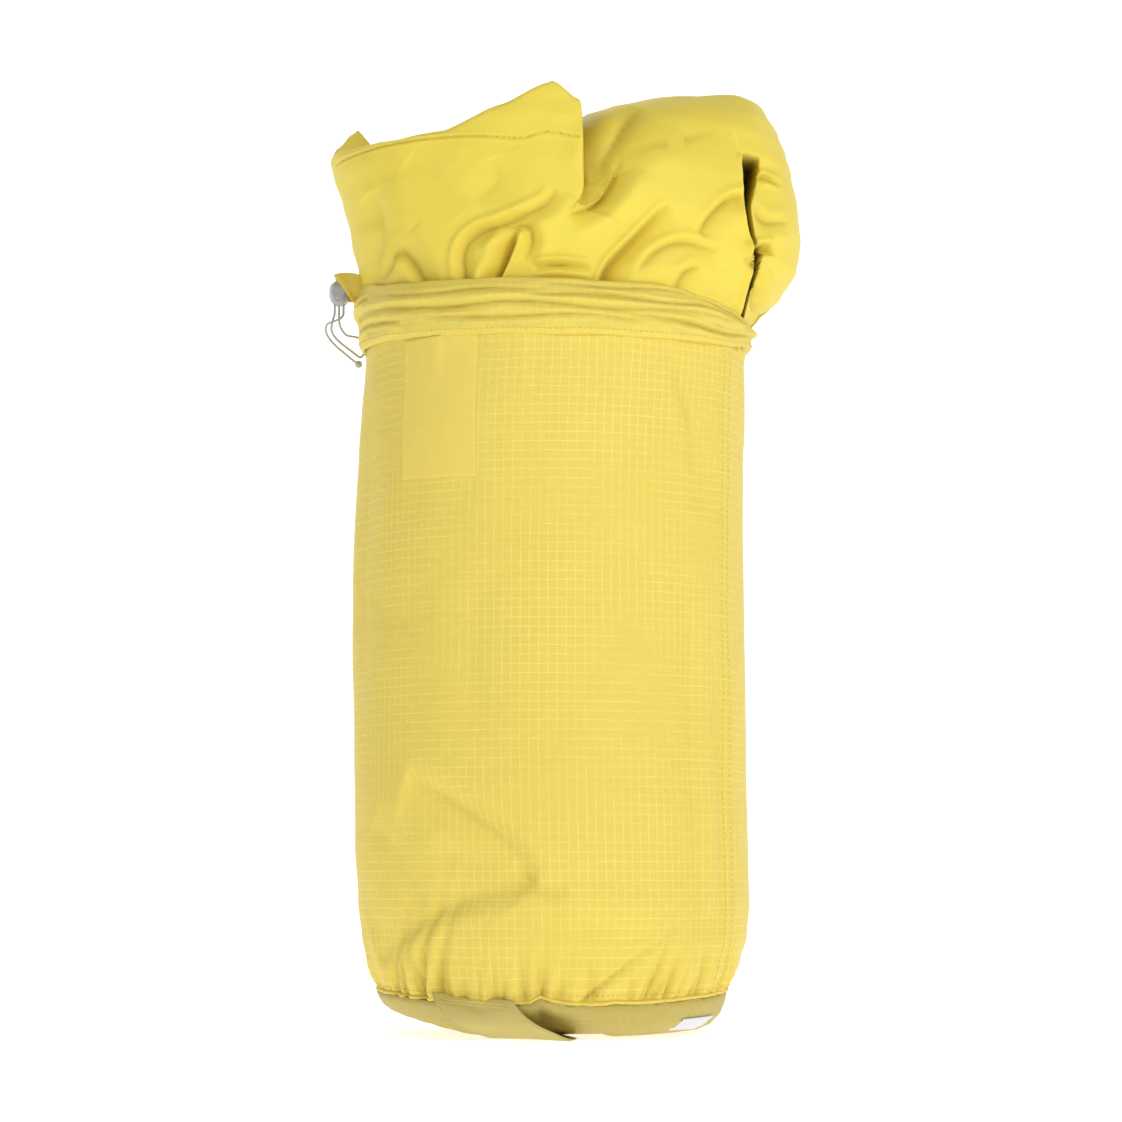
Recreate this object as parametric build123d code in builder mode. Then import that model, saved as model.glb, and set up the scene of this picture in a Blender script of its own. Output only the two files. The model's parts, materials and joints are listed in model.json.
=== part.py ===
"""Drawcord stuff sack of ripstop nylon, packed with a rolled sheet of the same cloth.

Frame: +Z up, origin under the middle of the base, on the surface the sack stands on.
The front of the sack faces -Y. All lengths are in millimetres.
"""
import os
from math import cos, degrees, radians, sin, sqrt, tan

from build123d import *

# ---- driving dimensions --------------------------------------------------------------
BODY_RADIUS = 105.5         # widest part of the filled tube
NECK_RADIUS = 104.6         # tube where the drawcord hem is sewn on
SEAM_RADIUS = 94.5          # circle where the base is sewn in
SEAM_HEIGHT = 22.5          # the base seam stands this far above the floor
BASE_FLAT_RADIUS = 76.0     # part of the base that lies on the floor
WALL = 1.2                  # thickness that stands for the cloth
BASE_WALL = 2.6             # base cloth with its seam allowance
HEM_BOTTOM = 360.0          # lower edge of the drawcord hem
HEM_TOP = 394.0             # mouth of the sack
HEM_CLOTH = 1.0
HEM_OUTER_RADIUS = NECK_RADIUS + HEM_CLOTH
HEM_INNER_RADIUS = 100.6
CORD_DIAMETER = 1.2
THREAD_RADIUS = 0.35
STRAP_WIDTH = 40.0
STRAP_THICKNESS = 1.2
STRAP_ANGLE = 24.7          # the strap crosses the base this far round from the front
RUNNING_GAP = 0.4           # room between the sack's hem and the sheet inside it
SHEET_BOTTOM = 31.0         # lower end of the rolled sheet
SHEET_LEDGE = HEM_TOP + 0.6 # the sheet swells out over the hem from here
SIDE_SEAM_ANGLE = 61.5      # right of the front, seen from above
LOCK_CENTRE = Vector(-114.6, 3.0, 396.8)
LOCK_SIZE = (10.2, 9.0, 12.4)
LOCK_TRAVEL = 4.5           # straight cord left below the lock
PRESS_TRAVEL = 2.0          # how far the button goes in

FRONT = -90.0               # the front of the sack as an angle about Z

os.makedirs("parts", exist_ok=True)


# ---- helpers ---------------------------------------------------------------------------
def around(angle):
    """Vertical plane through the Z axis: its x runs outwards, its y runs up."""
    direction = Vector(cos(radians(angle)), sin(radians(angle)), 0)
    return Plane(origin=(0, 0, 0), x_dir=direction, z_dir=direction.cross(Vector(0, 0, 1)))


def tube_radius(height):
    """Outer radius of the filled cloth tube at one height."""
    for (low_z, low_r), (high_z, high_r) in zip(TUBE_PROFILE, TUBE_PROFILE[1:]):
        if height <= high_z:
            return low_r + (high_r - low_r) * (height - low_z) / (high_z - low_z)
    return NECK_RADIUS


def band(points, thickness):
    """Closed outline of a band: height, radius points and the same points further out."""
    outer = [(radius + thickness, height) for height, radius in points]
    inner = [(radius, height) for height, radius in points]
    return inner + outer[::-1]


def tube_stretch(low, high):
    """Height, radius points of the tube's outer face between two heights."""
    between = [(z, r) for z, r in TUBE_PROFILE if low < z < high]
    return [(low, tube_radius(low))] + between + [(high, tube_radius(high))]


def save(piece, label):
    """Name a finished piece and write it."""
    piece.label = label
    export_step(piece, f"parts/{label}.step")
    print(label, f"{piece.volume:.1f} mm3")


def corner_radii(route):
    """Bend radius at each inner point: as large as its two runs allow."""
    radii = []
    for before, point, after in zip(route, route[1:], route[2:]):
        arriving = Vector(point) - Vector(before)
        leaving = Vector(after) - Vector(point)
        half_turn = radians(arriving.get_angle(leaving)) / 2
        radii.append(0.45 * min(arriving.length, leaving.length) / tan(half_turn))
    return radii


# height, radius: the packed cloth tube is a straight cylinder, drawn in towards its base seam
TUBE_PROFILE = [
    (SEAM_HEIGHT, SEAM_RADIUS),
    (32.0, 100.5),
    (52.0, 104.0),
    (96.0, BODY_RADIUS),
    (290.0, BODY_RADIUS),
    (350.0, NECK_RADIUS),
    (HEM_BOTTOM + 4.0, NECK_RADIUS),
]

# ---- cloth tube, its seam and the smooth patch ------------------------------------------
with BuildPart() as body_panel:
    with BuildSketch(around(0)):
        Polygon(*band([(z, r - WALL) for z, r in TUBE_PROFILE], WALL), align=None)
    revolve(axis=Axis.Z)
save(body_panel.part, "body_panel")

SEAM_STRIP_ARC = degrees(8.0 / BODY_RADIUS)
with BuildPart() as side_seam:
    with BuildSketch(around(FRONT + SIDE_SEAM_ANGLE)):
        Polygon(*band(tube_stretch(24.0, HEM_BOTTOM), 0.7), align=None)
    revolve(axis=Axis.Z, revolution_arc=SEAM_STRIP_ARC)
save(side_seam.part, "side_seam")

with BuildPart() as side_seam_thread:
    for share in (0.2, 0.75):
        with BuildSketch(around(FRONT + SIDE_SEAM_ANGLE + share * SEAM_STRIP_ARC)):
            Polygon(*band([(z, r + 0.7) for z, r in tube_stretch(26.0, HEM_BOTTOM - 2.0)], 0.4), align=None)
        revolve(axis=Axis.Z, revolution_arc=0.3)
save(side_seam_thread.part, "side_seam_thread")

PATCH_LOW = 284.0
PATCH_START = FRONT - 48.4
PATCH_ARC = 25.8
with BuildPart() as body_patch:
    with BuildSketch(around(PATCH_START)):
        Polygon(*band(tube_stretch(PATCH_LOW, HEM_BOTTOM - 1.0), 0.4), align=None)
    revolve(axis=Axis.Z, revolution_arc=PATCH_ARC)
save(body_patch.part, "body_patch")

# ---- round base, its seam, label ----------------------------------------------------------
BASE_TOP = SEAM_HEIGHT - 1.0
BASE_PROFILE = [(BASE_TOP, SEAM_RADIUS), (14.0, 92.6), (7.0, 88.0), (2.2, 81.5), (0.0, BASE_FLAT_RADIUS)]
GROOVE_DEPTH = STRAP_THICKNESS
strap_plane = around(FRONT - STRAP_ANGLE)

with BuildPart() as base_panel:
    with BuildSketch(around(0)):
        outside = [(r, z) for z, r in BASE_PROFILE]
        inside = [(r - BASE_WALL, z + (BASE_WALL if z < BASE_TOP else 0)) for z, r in BASE_PROFILE]
        Polygon(*outside, (0, 0), (0, BASE_WALL), *inside[::-1], align=None)
    revolve(axis=Axis.Z)
    with BuildSketch(strap_plane):
        with Locations((0, GROOVE_DEPTH / 2)):
            Rectangle(2 * SEAM_RADIUS, GROOVE_DEPTH)
    extrude(amount=STRAP_WIDTH / 2 + 0.5, both=True, mode=Mode.SUBTRACT)
save(base_panel.part, "base_panel")

with BuildPart() as base_seam_tape:
    with BuildSketch(around(0)):
        Polygon((88.5, BASE_TOP), (SEAM_RADIUS + 0.8, BASE_TOP), (SEAM_RADIUS + 0.8, SEAM_HEIGHT),
                (88.5, SEAM_HEIGHT), align=None)
    revolve(axis=Axis.Z)
save(base_seam_tape.part, "base_seam_tape")

with BuildPart() as base_seam_thread:
    with BuildSketch(around(0)):
        with Locations((90.2, SEAM_HEIGHT + THREAD_RADIUS)):
            Circle(THREAD_RADIUS)
    revolve(axis=Axis.Z)
save(base_seam_thread.part, "base_seam_thread")

LABEL_START = FRONT + 33.0
LABEL_ARC = 33.0
LABEL_PROFILE = [(3.0, 82.6), (7.0, 88.0), (12.0, 91.3)]
with BuildPart() as base_label:
    with BuildSketch(around(LABEL_START)):
        Polygon(*band(LABEL_PROFILE, 0.5), align=None)
    revolve(axis=Axis.Z, revolution_arc=LABEL_ARC)
save(base_label.part, "base_label")

with BuildPart() as label_thread:
    for angle in (1.0, LABEL_ARC - 1.5):
        with BuildSketch(around(LABEL_START + angle)):
            Polygon(*band([(z, r + 0.5) for z, r in LABEL_PROFILE[1:]], 0.3), align=None)
        revolve(axis=Axis.Z, revolution_arc=0.5)
save(label_thread.part, "label_thread")

# ---- grab strap under the base ---------------------------------------------------------------
HALF = STRAP_THICKNESS / 2
STRAP_SEWN = 98.9           # the strap's sewn end, out from the axis
STRAP_BOW = 103.4           # the slack bow that fingers go behind
strap_side = [(STRAP_SEWN, 28.5), (STRAP_SEWN, 22.5), (STRAP_BOW, 16.5), (STRAP_BOW - 0.6, 6.0), (93.0, HALF)]
strap_route = strap_side + [(-x, z) for x, z in strap_side[::-1]]

with BuildPart() as grab_strap:
    with BuildSketch(strap_plane):
        with BuildLine():
            bend_radii = [4.0, 6.0, 5.0, 8.0]
            FilletPolyline(*strap_route, radius=bend_radii + bend_radii[::-1])
        trace(line_width=STRAP_THICKNESS)
    extrude(amount=STRAP_WIDTH / 2, both=True)
save(grab_strap.part, "grab_strap")

TACK = (0.6, 11.0, 3.2)
tack_out = STRAP_SEWN + HALF + TACK[0] / 2
with BuildPart() as strap_bartacks:
    for side in (1, -1):
        for place in (13.0, -13.0):
            with BuildSketch(Plane(origin=strap_plane.from_local_coords((side * tack_out, 26.6, 0)),
                                   x_dir=strap_plane.z_dir, z_dir=strap_plane.x_dir)):
                with Locations((place, 0)):
                    SlotOverall(TACK[1], TACK[2])
            extrude(amount=TACK[0] / 2, both=True)
save(strap_bartacks.part, "strap_bartacks")

# ---- drawcord hem, its stitching and the spout the cord leaves by -----------------------------------
with BuildPart() as channel_hem:
    with BuildSketch(around(0)):
        fold = HEM_TOP - HEM_CLOTH
        Polygon((HEM_OUTER_RADIUS, HEM_BOTTOM), (HEM_OUTER_RADIUS, HEM_TOP), (HEM_INNER_RADIUS, HEM_TOP),
                (HEM_INNER_RADIUS, HEM_BOTTOM + 6.0), (HEM_INNER_RADIUS + HEM_CLOTH, HEM_BOTTOM + 6.0),
                (HEM_INNER_RADIUS + HEM_CLOTH, fold), (NECK_RADIUS, fold), (NECK_RADIUS, HEM_BOTTOM),
                align=None)
    revolve(axis=Axis.Z)
save(channel_hem.part, "channel_hem")

with BuildPart() as channel_thread:
    for height in (HEM_BOTTOM + 2.0, HEM_BOTTOM + 5.0):
        with BuildSketch(around(0)):
            with Locations((HEM_OUTER_RADIUS + THREAD_RADIUS, height)):
                Circle(THREAD_RADIUS)
        revolve(axis=Axis.Z)
save(channel_thread.part, "channel_thread")

SPOUT_ROOF = 403.7
SPOUT_FRONT = -8.5
with BuildPart() as channel_spout:
    with BuildSketch(Plane.XZ.offset(-SPOUT_FRONT)):
        Polygon((-116.8, 404.8), (-112.9, 408.4), (-106.0, 408.4), (-98.0, 402.2), (-98.0, 381.2),
                (-101.5, 383.7), (-107.4, 392.2), (-112.2, 398.2), align=None)
    extrude(amount=-3.0)
    with BuildSketch(Plane.XZ.offset(-SPOUT_FRONT)):
        Polygon((-119.0, SPOUT_ROOF), (-116.0, 407.8), (-98.0, 407.8), (-98.0, SPOUT_ROOF), align=None)
    extrude(amount=-15.0)
    with BuildSketch(Plane.XY.offset(HEM_BOTTOM)):
        Circle(HEM_OUTER_RADIUS)
    extrude(amount=60.0, mode=Mode.SUBTRACT)
save(channel_spout.part, "channel_spout")

# ---- drawcord ---------------------------------------------------------------------------------
CORD_RADIUS = CORD_DIAMETER / 2
LOCK_BOTTOM = LOCK_CENTRE.Z - LOCK_SIZE[2] / 2
STRAND_END = LOCK_BOTTOM - LOCK_TRAVEL - 0.4
STRAND_SPACING = 2.4
strand_x = [LOCK_CENTRE.X + step * STRAND_SPACING for step in (-1, 0, 1)]

with BuildPart() as drawcord_ring:
    with BuildSketch(around(0)):
        with Locations((HEM_INNER_RADIUS + HEM_CLOTH + CORD_RADIUS + 0.8, HEM_TOP - 14.0)):
            Circle(CORD_RADIUS)
    revolve(axis=Axis.Z)
save(drawcord_ring.part, "drawcord_ring")

with BuildPart() as drawcord_strands:
    with BuildSketch(Plane.XY.offset(STRAND_END)):
        with Locations(*[(x, LOCK_CENTRE.Y) for x in strand_x]):
            Circle(CORD_RADIUS)
    extrude(amount=SPOUT_ROOF - STRAND_END)
save(drawcord_strands.part, "drawcord_strands")

# the loop hangs from the lock, leans back against the sack and comes up again
LOOP_ROUTE = [
    (-117.0, 3.0, 385.7), (-118.4, 3.3, 381.6), (-119.2, 6.6, 376.6), (-115.6, 11.6, 372.4),
    (-110.6, 17.4, 369.4), (-106.6, 25.0, 367.2), (-105.0, 32.4, 366.8), (-103.6, 38.0, 369.2),
    (-103.0, 40.0, 374.2), (-104.8, 36.0, 378.2), (-108.0, 26.6, 377.8), (-111.2, 16.6, 376.2),
    (-113.6, 8.8, 378.0), (-114.7, 3.8, 381.2), (-114.6, 3.0, 385.7),
]
# the spare end crosses in front of the loop, then hangs below it
TAIL_ROUTE = [
    (-112.2, 3.0, 385.7), (-112.8, 1.2, 383.2), (-117.0, -0.2, 381.2), (-121.4, 0.8, 380.0),
    (-122.2, 5.2, 375.8), (-118.2, 10.2, 370.6), (-112.2, 16.4, 366.4), (-108.4, 24.4, 364.0),
    (-106.4, 31.6, 363.6),
]


def cord_tube(route):
    """Round tube along the route, each corner as wide as its runs allow."""
    radii = corner_radii(route)
    print("  radii", [round(value, 1) for value in radii])
    with BuildPart() as tube:
        with BuildLine():
            path = FilletPolyline(*route, radius=radii)
        with BuildSketch(Plane(origin=path @ 0, z_dir=path % 0)):
            Circle(CORD_RADIUS)
        sweep()
    print("  length", round(path.length, 1), "volume over length", round(tube.part.volume / path.length, 3))
    return tube.part


save(cord_tube(LOOP_ROUTE), "drawcord_loop")
save(cord_tube(TAIL_ROUTE), "drawcord_tail")

KNOT_RADIUS = 2.0
tail_end = Vector(*TAIL_ROUTE[-1])
tail_heading = (tail_end - Vector(*TAIL_ROUTE[-2])).normalized()
with BuildPart() as stopper_knot:
    with Locations(tail_end + tail_heading * sqrt(KNOT_RADIUS**2 - CORD_RADIUS**2)):
        Sphere(KNOT_RADIUS)
save(stopper_knot.part, "stopper_knot")

# ---- cord lock: barrel, spring and button -------------------------------------------------------
SLOT_LENGTH = 2 * STRAND_SPACING + CORD_DIAMETER + 0.8
SLOT_WIDTH = CORD_DIAMETER + 0.6
BORE_RADIUS = 3.9
lock_front = LOCK_CENTRE.Y - LOCK_SIZE[1] / 2
lock_face = Plane(origin=(LOCK_CENTRE.X, lock_front, LOCK_CENTRE.Z), x_dir=(1, 0, 0), z_dir=(0, -1, 0))
BACK_WALL = 1.2

with BuildPart() as cord_lock_body:
    with BuildSketch(lock_face):
        RectangleRounded(LOCK_SIZE[0], LOCK_SIZE[2], 4.4)
    extrude(amount=-LOCK_SIZE[1])
    fillet(cord_lock_body.edges().filter_by(Plane.XZ), radius=1.0)
    with BuildSketch(lock_face):
        Circle(BORE_RADIUS)
    extrude(amount=-(LOCK_SIZE[1] - BACK_WALL), mode=Mode.SUBTRACT)
    with BuildSketch(Plane.XY.offset(LOCK_BOTTOM - 1.0)):
        with Locations((LOCK_CENTRE.X, LOCK_CENTRE.Y)):
            Rectangle(SLOT_LENGTH, SLOT_WIDTH)
    extrude(amount=LOCK_SIZE[2] + 2.0, mode=Mode.SUBTRACT)
save(cord_lock_body.part, "cord_lock_body")

PLUNGER_RADIUS = BORE_RADIUS - 0.1
PROUD = 2.6                 # the button stands out of the barrel by this much
PLUNGER_INSIDE = 5.2        # length of the plunger in the barrel
with BuildPart() as cord_lock_plunger:
    with BuildSketch(lock_face.offset(PROUD)):
        Circle(PLUNGER_RADIUS)
    extrude(amount=-(PROUD + PLUNGER_INSIDE))
    fillet(cord_lock_plunger.faces().sort_by(Axis.Y)[0].edges(), radius=0.8)
    with BuildSketch(Plane.XY.offset(LOCK_CENTRE.Z - BORE_RADIUS - 1.0)):
        with Locations((LOCK_CENTRE.X, LOCK_CENTRE.Y - PRESS_TRAVEL / 2)):
            Rectangle(SLOT_LENGTH, SLOT_WIDTH + PRESS_TRAVEL)
    extrude(amount=2 * BORE_RADIUS + 2.0, mode=Mode.SUBTRACT)
save(cord_lock_plunger.part, "cord_lock_plunger")

# the spring is a plain sleeve of the coil's size, between the plunger and the barrel's end
SPRING_LENGTH = LOCK_SIZE[1] - BACK_WALL - PLUNGER_INSIDE
with BuildPart() as cord_lock_spring:
    with BuildSketch(lock_face.offset(-PLUNGER_INSIDE)):
        Circle(2.9)
        Circle(2.3, mode=Mode.SUBTRACT)
    extrude(amount=-SPRING_LENGTH)
save(cord_lock_spring.part, "cord_lock_spring")

# ---- the rolled sheet that fills the sack and stands out of its mouth -------------------------------
SHEET_RADIUS = HEM_INNER_RADIUS - RUNNING_GAP
# height, middle in x, half width in x, half width in y
SWELL = [
    (SHEET_LEDGE, 9.0, 108.0, 100.0),
    (429.0, 12.0, 121.5, 104.0),
    (469.0, 6.0, 124.0, 100.0),
    (490.0, 8.0, 112.0, 88.0),
]
with BuildPart() as stuffed_sheet:
    with BuildSketch(around(0)):
        Polygon((0, SHEET_BOTTOM), (86.0, SHEET_BOTTOM), (94.0, 41.0), (98.6, 59.0), (SHEET_RADIUS, 86.0),
                (SHEET_RADIUS, SHEET_LEDGE), (0, SHEET_LEDGE), align=None)
    revolve(axis=Axis.Z)
    for height, middle, half_x, half_y in SWELL:
        with BuildSketch(Plane.XY.offset(height)):
            with Locations((middle, 0)):
                Ellipse(half_x, half_y)
    loft(ruled=True)
    with BuildSketch(Plane.XZ.offset(45.0)):
        Polygon((-85.0, 484.0), (-60.0, 492.0), (2.0, 498.0), (60.0, 496.0), (88.0, 492.0), (90.0, 484.0),
                align=None)
    extrude(amount=-60.0)
save(stuffed_sheet.part, "stuffed_sheet")

print("finger gap under the strap", round(STRAP_BOW - HALF - 92.6, 1), "mm")
print("side seam at x", round(BODY_RADIUS * sin(radians(SIDE_SEAM_ANGLE)), 1))
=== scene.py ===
# %% [markdown]
# # A drawcord stuff sack, packed with a rolled sheet
# The sack is a tube of ripstop nylon with a round base sewn in, a hem round its mouth that holds a
# drawcord, a cord lock, and a grab strap under the base. A rolled sheet of the same cloth fills it
# and stands out of the mouth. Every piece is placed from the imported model, so it moves with it.

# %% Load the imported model
import json
from math import cos, degrees, pi, radians, sin

import bpy
import numpy as np
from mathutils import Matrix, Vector

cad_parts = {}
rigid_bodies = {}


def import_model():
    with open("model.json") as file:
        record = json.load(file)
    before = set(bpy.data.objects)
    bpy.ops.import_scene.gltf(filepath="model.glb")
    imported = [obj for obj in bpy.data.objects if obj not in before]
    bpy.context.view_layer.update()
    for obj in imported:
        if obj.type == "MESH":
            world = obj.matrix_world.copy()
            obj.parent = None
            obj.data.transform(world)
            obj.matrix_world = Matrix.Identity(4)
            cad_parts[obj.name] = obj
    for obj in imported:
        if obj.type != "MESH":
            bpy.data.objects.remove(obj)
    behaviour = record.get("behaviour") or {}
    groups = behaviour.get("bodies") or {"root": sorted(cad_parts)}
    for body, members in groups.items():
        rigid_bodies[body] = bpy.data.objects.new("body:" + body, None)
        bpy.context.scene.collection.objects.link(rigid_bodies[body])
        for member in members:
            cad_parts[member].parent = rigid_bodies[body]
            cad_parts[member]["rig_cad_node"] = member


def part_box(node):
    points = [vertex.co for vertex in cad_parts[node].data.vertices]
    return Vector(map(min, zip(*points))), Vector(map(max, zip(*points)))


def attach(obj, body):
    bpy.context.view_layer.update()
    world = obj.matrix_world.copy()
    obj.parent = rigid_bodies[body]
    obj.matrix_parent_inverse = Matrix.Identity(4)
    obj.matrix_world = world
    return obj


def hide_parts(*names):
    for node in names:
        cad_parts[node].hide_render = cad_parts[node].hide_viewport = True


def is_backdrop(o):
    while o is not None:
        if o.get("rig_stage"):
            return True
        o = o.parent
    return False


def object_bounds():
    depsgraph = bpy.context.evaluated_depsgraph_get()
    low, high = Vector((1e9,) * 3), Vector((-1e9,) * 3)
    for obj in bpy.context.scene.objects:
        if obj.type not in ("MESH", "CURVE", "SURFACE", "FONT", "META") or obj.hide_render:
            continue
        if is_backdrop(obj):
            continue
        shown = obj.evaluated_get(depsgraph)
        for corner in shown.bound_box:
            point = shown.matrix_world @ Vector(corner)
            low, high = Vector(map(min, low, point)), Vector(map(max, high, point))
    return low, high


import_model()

MM = 0.001
cad_box = [list(corner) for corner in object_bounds()]
tube_low, tube_high = (Vector(corner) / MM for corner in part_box("body_panel"))

# %% [markdown]
# ## Camera and light
# A long view from low in front shows the base seam curving down and the mouth curving up. The light
# is a white room: a pale floor that sweeps up behind, one large soft light high on the right, and a
# dim fill on the left, so that folds in the cloth keep a light and a dark side.

# %% Camera
CAMERA_PLACE = Vector((0.006, -1.6, 0.080))
CAMERA_AIM = Vector((0.006, 0.0, 0.2506))
FIELD = 0.6032

camera_data = bpy.data.cameras.new("camera")
camera = bpy.data.objects.new("camera", camera_data)
bpy.context.scene.collection.objects.link(camera)
camera.location = CAMERA_PLACE
camera.rotation_euler = (CAMERA_AIM - CAMERA_PLACE).to_track_quat("-Z", "Y").to_euler()
camera_data.sensor_fit = "HORIZONTAL"
camera_data.angle = 2 * np.arctan(FIELD / 2 / (CAMERA_AIM - CAMERA_PLACE).length)
camera_data.clip_start = 0.05
bpy.context.scene.camera = camera
bpy.context.scene.view_settings.view_transform = "Standard"
print("field of view", round(degrees(camera_data.angle), 2))


# %% Lights, floor and sweep
def soft_light(name, place, aim, size, power):
    """A round white area light at place, turned to aim."""
    data = bpy.data.lights.new(name, "AREA")
    data.shape = "DISK"
    data.size = size
    data.energy = power
    light = bpy.data.objects.new(name, data)
    bpy.context.scene.collection.objects.link(light)
    light.location = place
    light.rotation_euler = (Vector(aim) - Vector(place)).to_track_quat("-Z", "Y").to_euler()


soft_light("key_light", (1.05, -1.65, 1.15), (0, 0, 0.25), 0.5, 14.4)
soft_light("fill_light", (-1.6, -1.4, 0.9), (0, 0, 0.25), 1.2, 3)
soft_light("back_light", (-0.6, 1.6, 1.6), (0, 0, 0.3), 1.2, 6)

world = bpy.data.worlds.new("white_room")
world.use_nodes = True
world.node_tree.nodes["Background"].inputs["Color"].default_value = (1, 1, 1, 1)
world.node_tree.nodes["Background"].inputs["Strength"].default_value = 0.40
bpy.context.scene.world = world

SWEEP_WIDTH, SWEEP_NEAR, SWEEP_BACK, SWEEP_TOP, SWEEP_BEND = 9.0, -4.0, 3.2, 4.0, 1.2
sweep_line = [(SWEEP_NEAR, 0.0), (SWEEP_BACK - SWEEP_BEND, 0.0)]
sweep_line += [
    (SWEEP_BACK - SWEEP_BEND + SWEEP_BEND * sin(turn), SWEEP_BEND * (1 - cos(turn)))
    for turn in np.linspace(0.1, pi / 2, 12)
]
sweep_line.append((SWEEP_BACK, SWEEP_TOP))
sweep_points = [(side * SWEEP_WIDTH / 2, y, z) for y, z in sweep_line for side in (-1, 1)]
sweep_faces = [(2 * i, 2 * i + 1, 2 * i + 3, 2 * i + 2) for i in range(len(sweep_line) - 1)]
sweep_mesh = bpy.data.meshes.new("sweep")
sweep_mesh.from_pydata(sweep_points, [], sweep_faces)
sweep_mesh.shade_smooth()
sweep = bpy.data.objects.new("sweep", sweep_mesh)
bpy.context.scene.collection.objects.link(sweep)
paper = bpy.data.materials.new("white_paper")
paper.use_nodes = True
paper_shader = paper.node_tree.nodes["Principled BSDF"]
paper_shader.inputs["Base Color"].default_value = (0.86, 0.86, 0.86, 1)
paper_shader.inputs["Roughness"].default_value = 0.95
paper_shader.inputs["Emission Color"].default_value = (1, 1, 1, 1)
paper_shader.inputs["Emission Strength"].default_value = 0.62
sweep_mesh.materials.append(paper)
sweep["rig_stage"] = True

# %% [markdown]
# ## The free drawcord
# A thin white cord hangs from the lock as a loop and a spare end. Its route is a short list of
# points under gravity, the same as the model's, and a smooth spline runs through it. At 1.2 mm its
# strands are finer than any mesh needs, so the cord is round and its material has a fine grain.

# %% Cord routes
CORD_DIAMETER = 0.0012
LOOP_ROUTE = [
    (-0.1170, 0.0030, 0.3857), (-0.1184, 0.0033, 0.3816), (-0.1192, 0.0066, 0.3766),
    (-0.1156, 0.0116, 0.3724), (-0.1106, 0.0174, 0.3694), (-0.1066, 0.0250, 0.3672),
    (-0.1050, 0.0324, 0.3668), (-0.1036, 0.0380, 0.3692), (-0.1030, 0.0400, 0.3742),
    (-0.1048, 0.0360, 0.3782), (-0.1080, 0.0266, 0.3778), (-0.1112, 0.0166, 0.3762),
    (-0.1136, 0.0088, 0.3780), (-0.1147, 0.0038, 0.3812), (-0.1146, 0.0030, 0.3857),
]
TAIL_ROUTE = [
    (-0.1122, 0.0030, 0.3857), (-0.1128, 0.0012, 0.3832), (-0.1170, -0.0002, 0.3812),
    (-0.1214, 0.0008, 0.3800), (-0.1222, 0.0052, 0.3758), (-0.1182, 0.0102, 0.3706),
    (-0.1122, 0.0164, 0.3664), (-0.1084, 0.0244, 0.3640), (-0.1064, 0.0316, 0.3636),
]


def cord_piece(name, route):
    """A round cord on a smooth spline through the route. Its points carry the cord's radius."""
    curve = bpy.data.curves.new(name, "CURVE")
    curve.dimensions = "3D"
    spline = curve.splines.new("NURBS")
    spline.points.add(len(route) - 1)
    for point, place in zip(spline.points, route):
        point.co = (*place, 1)
        point.radius = CORD_DIAMETER / 2
    spline.order_u = 3
    spline.use_endpoint_u = True
    spline.resolution_u = 8
    curve.bevel_depth = 1.0
    curve.bevel_resolution = 3
    curve.use_fill_caps = True
    piece = bpy.data.objects.new(name, curve)
    bpy.context.scene.collection.objects.link(piece)
    return piece


cord_loop = cord_piece("cord_loop", LOOP_ROUTE)
cord_tail = cord_piece("cord_tail", TAIL_ROUTE)
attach(cord_loop, "sack")
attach(cord_tail, "sack")
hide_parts("drawcord_loop")
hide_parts("drawcord_tail")

# %% [markdown]
# ## Tools for cloth
# Cloth here is a fine grid of points with its own flat coordinates in metres, so that the woven
# squares keep their size and bend with the cloth. Three helpers shape it: smooth noise for the soft
# lumps of what is packed inside, a crease that is sharp at its bottom and has soft shoulders, and a
# builder that turns the grid into a mesh. A last few give it thickness, close it and turn it outwards.


# %% Noise, tables and creases
def smooth_noise(x, y, seed, wrap=0):
    """Random heights from -1 to 1 on a unit lattice, joined smoothly. wrap repeats it in x."""
    size = 64
    table = np.random.default_rng(seed).uniform(-1, 1, (size, size))
    left, low = np.floor(x).astype(int), np.floor(y).astype(int)
    across, up = x - left, y - low
    across = across**3 * (across * (6 * across - 15) + 10)
    up = up**3 * (up * (6 * up - 15) + 10)
    wrap = wrap or size

    def corner(i, j):
        return table[(i % wrap) % size, j % size]

    bottom = corner(left, low) * (1 - across) + corner(left + 1, low) * across
    top = corner(left, low + 1) * (1 - across) + corner(left + 1, low + 1) * across
    return bottom * (1 - up) + top * up


def smooth_step(x, low, high):
    """0 below low, 1 above high, with soft ends."""
    share = np.clip((x - low) / (high - low), 0, 1)
    return share * share * (3 - 2 * share)


def read_table(x, rows):
    """Smoothly interpolates each column of rows of numbers, whose first number is the place."""
    rows = np.array(rows, float)
    places = rows[:, 0]
    share = np.interp(x, places, np.arange(len(places)))
    step = np.clip(share.astype(int), 0, len(places) - 2)
    part = share - step
    part = 0.5 * part + 0.5 * part * part * (3 - 2 * part)
    return [column[step] * (1 - part) + column[step + 1] * part for column in rows.T[1:]]


def smooth_route(route, steps=12):
    """A rounded line through a few points."""
    points = np.array([route[0]] + list(route) + [route[-1]], float)
    line = []
    for a, b, c, d in zip(points, points[1:], points[2:], points[3:]):
        for t in np.arange(steps) / steps:
            line.append(0.5 * (2 * b + (c - a) * t + (2 * a - 5 * b + 4 * c - d) * t**2
                               + (3 * b - a - 3 * c + d) * t**3))
    return np.array(line + [points[-1]])


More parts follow.
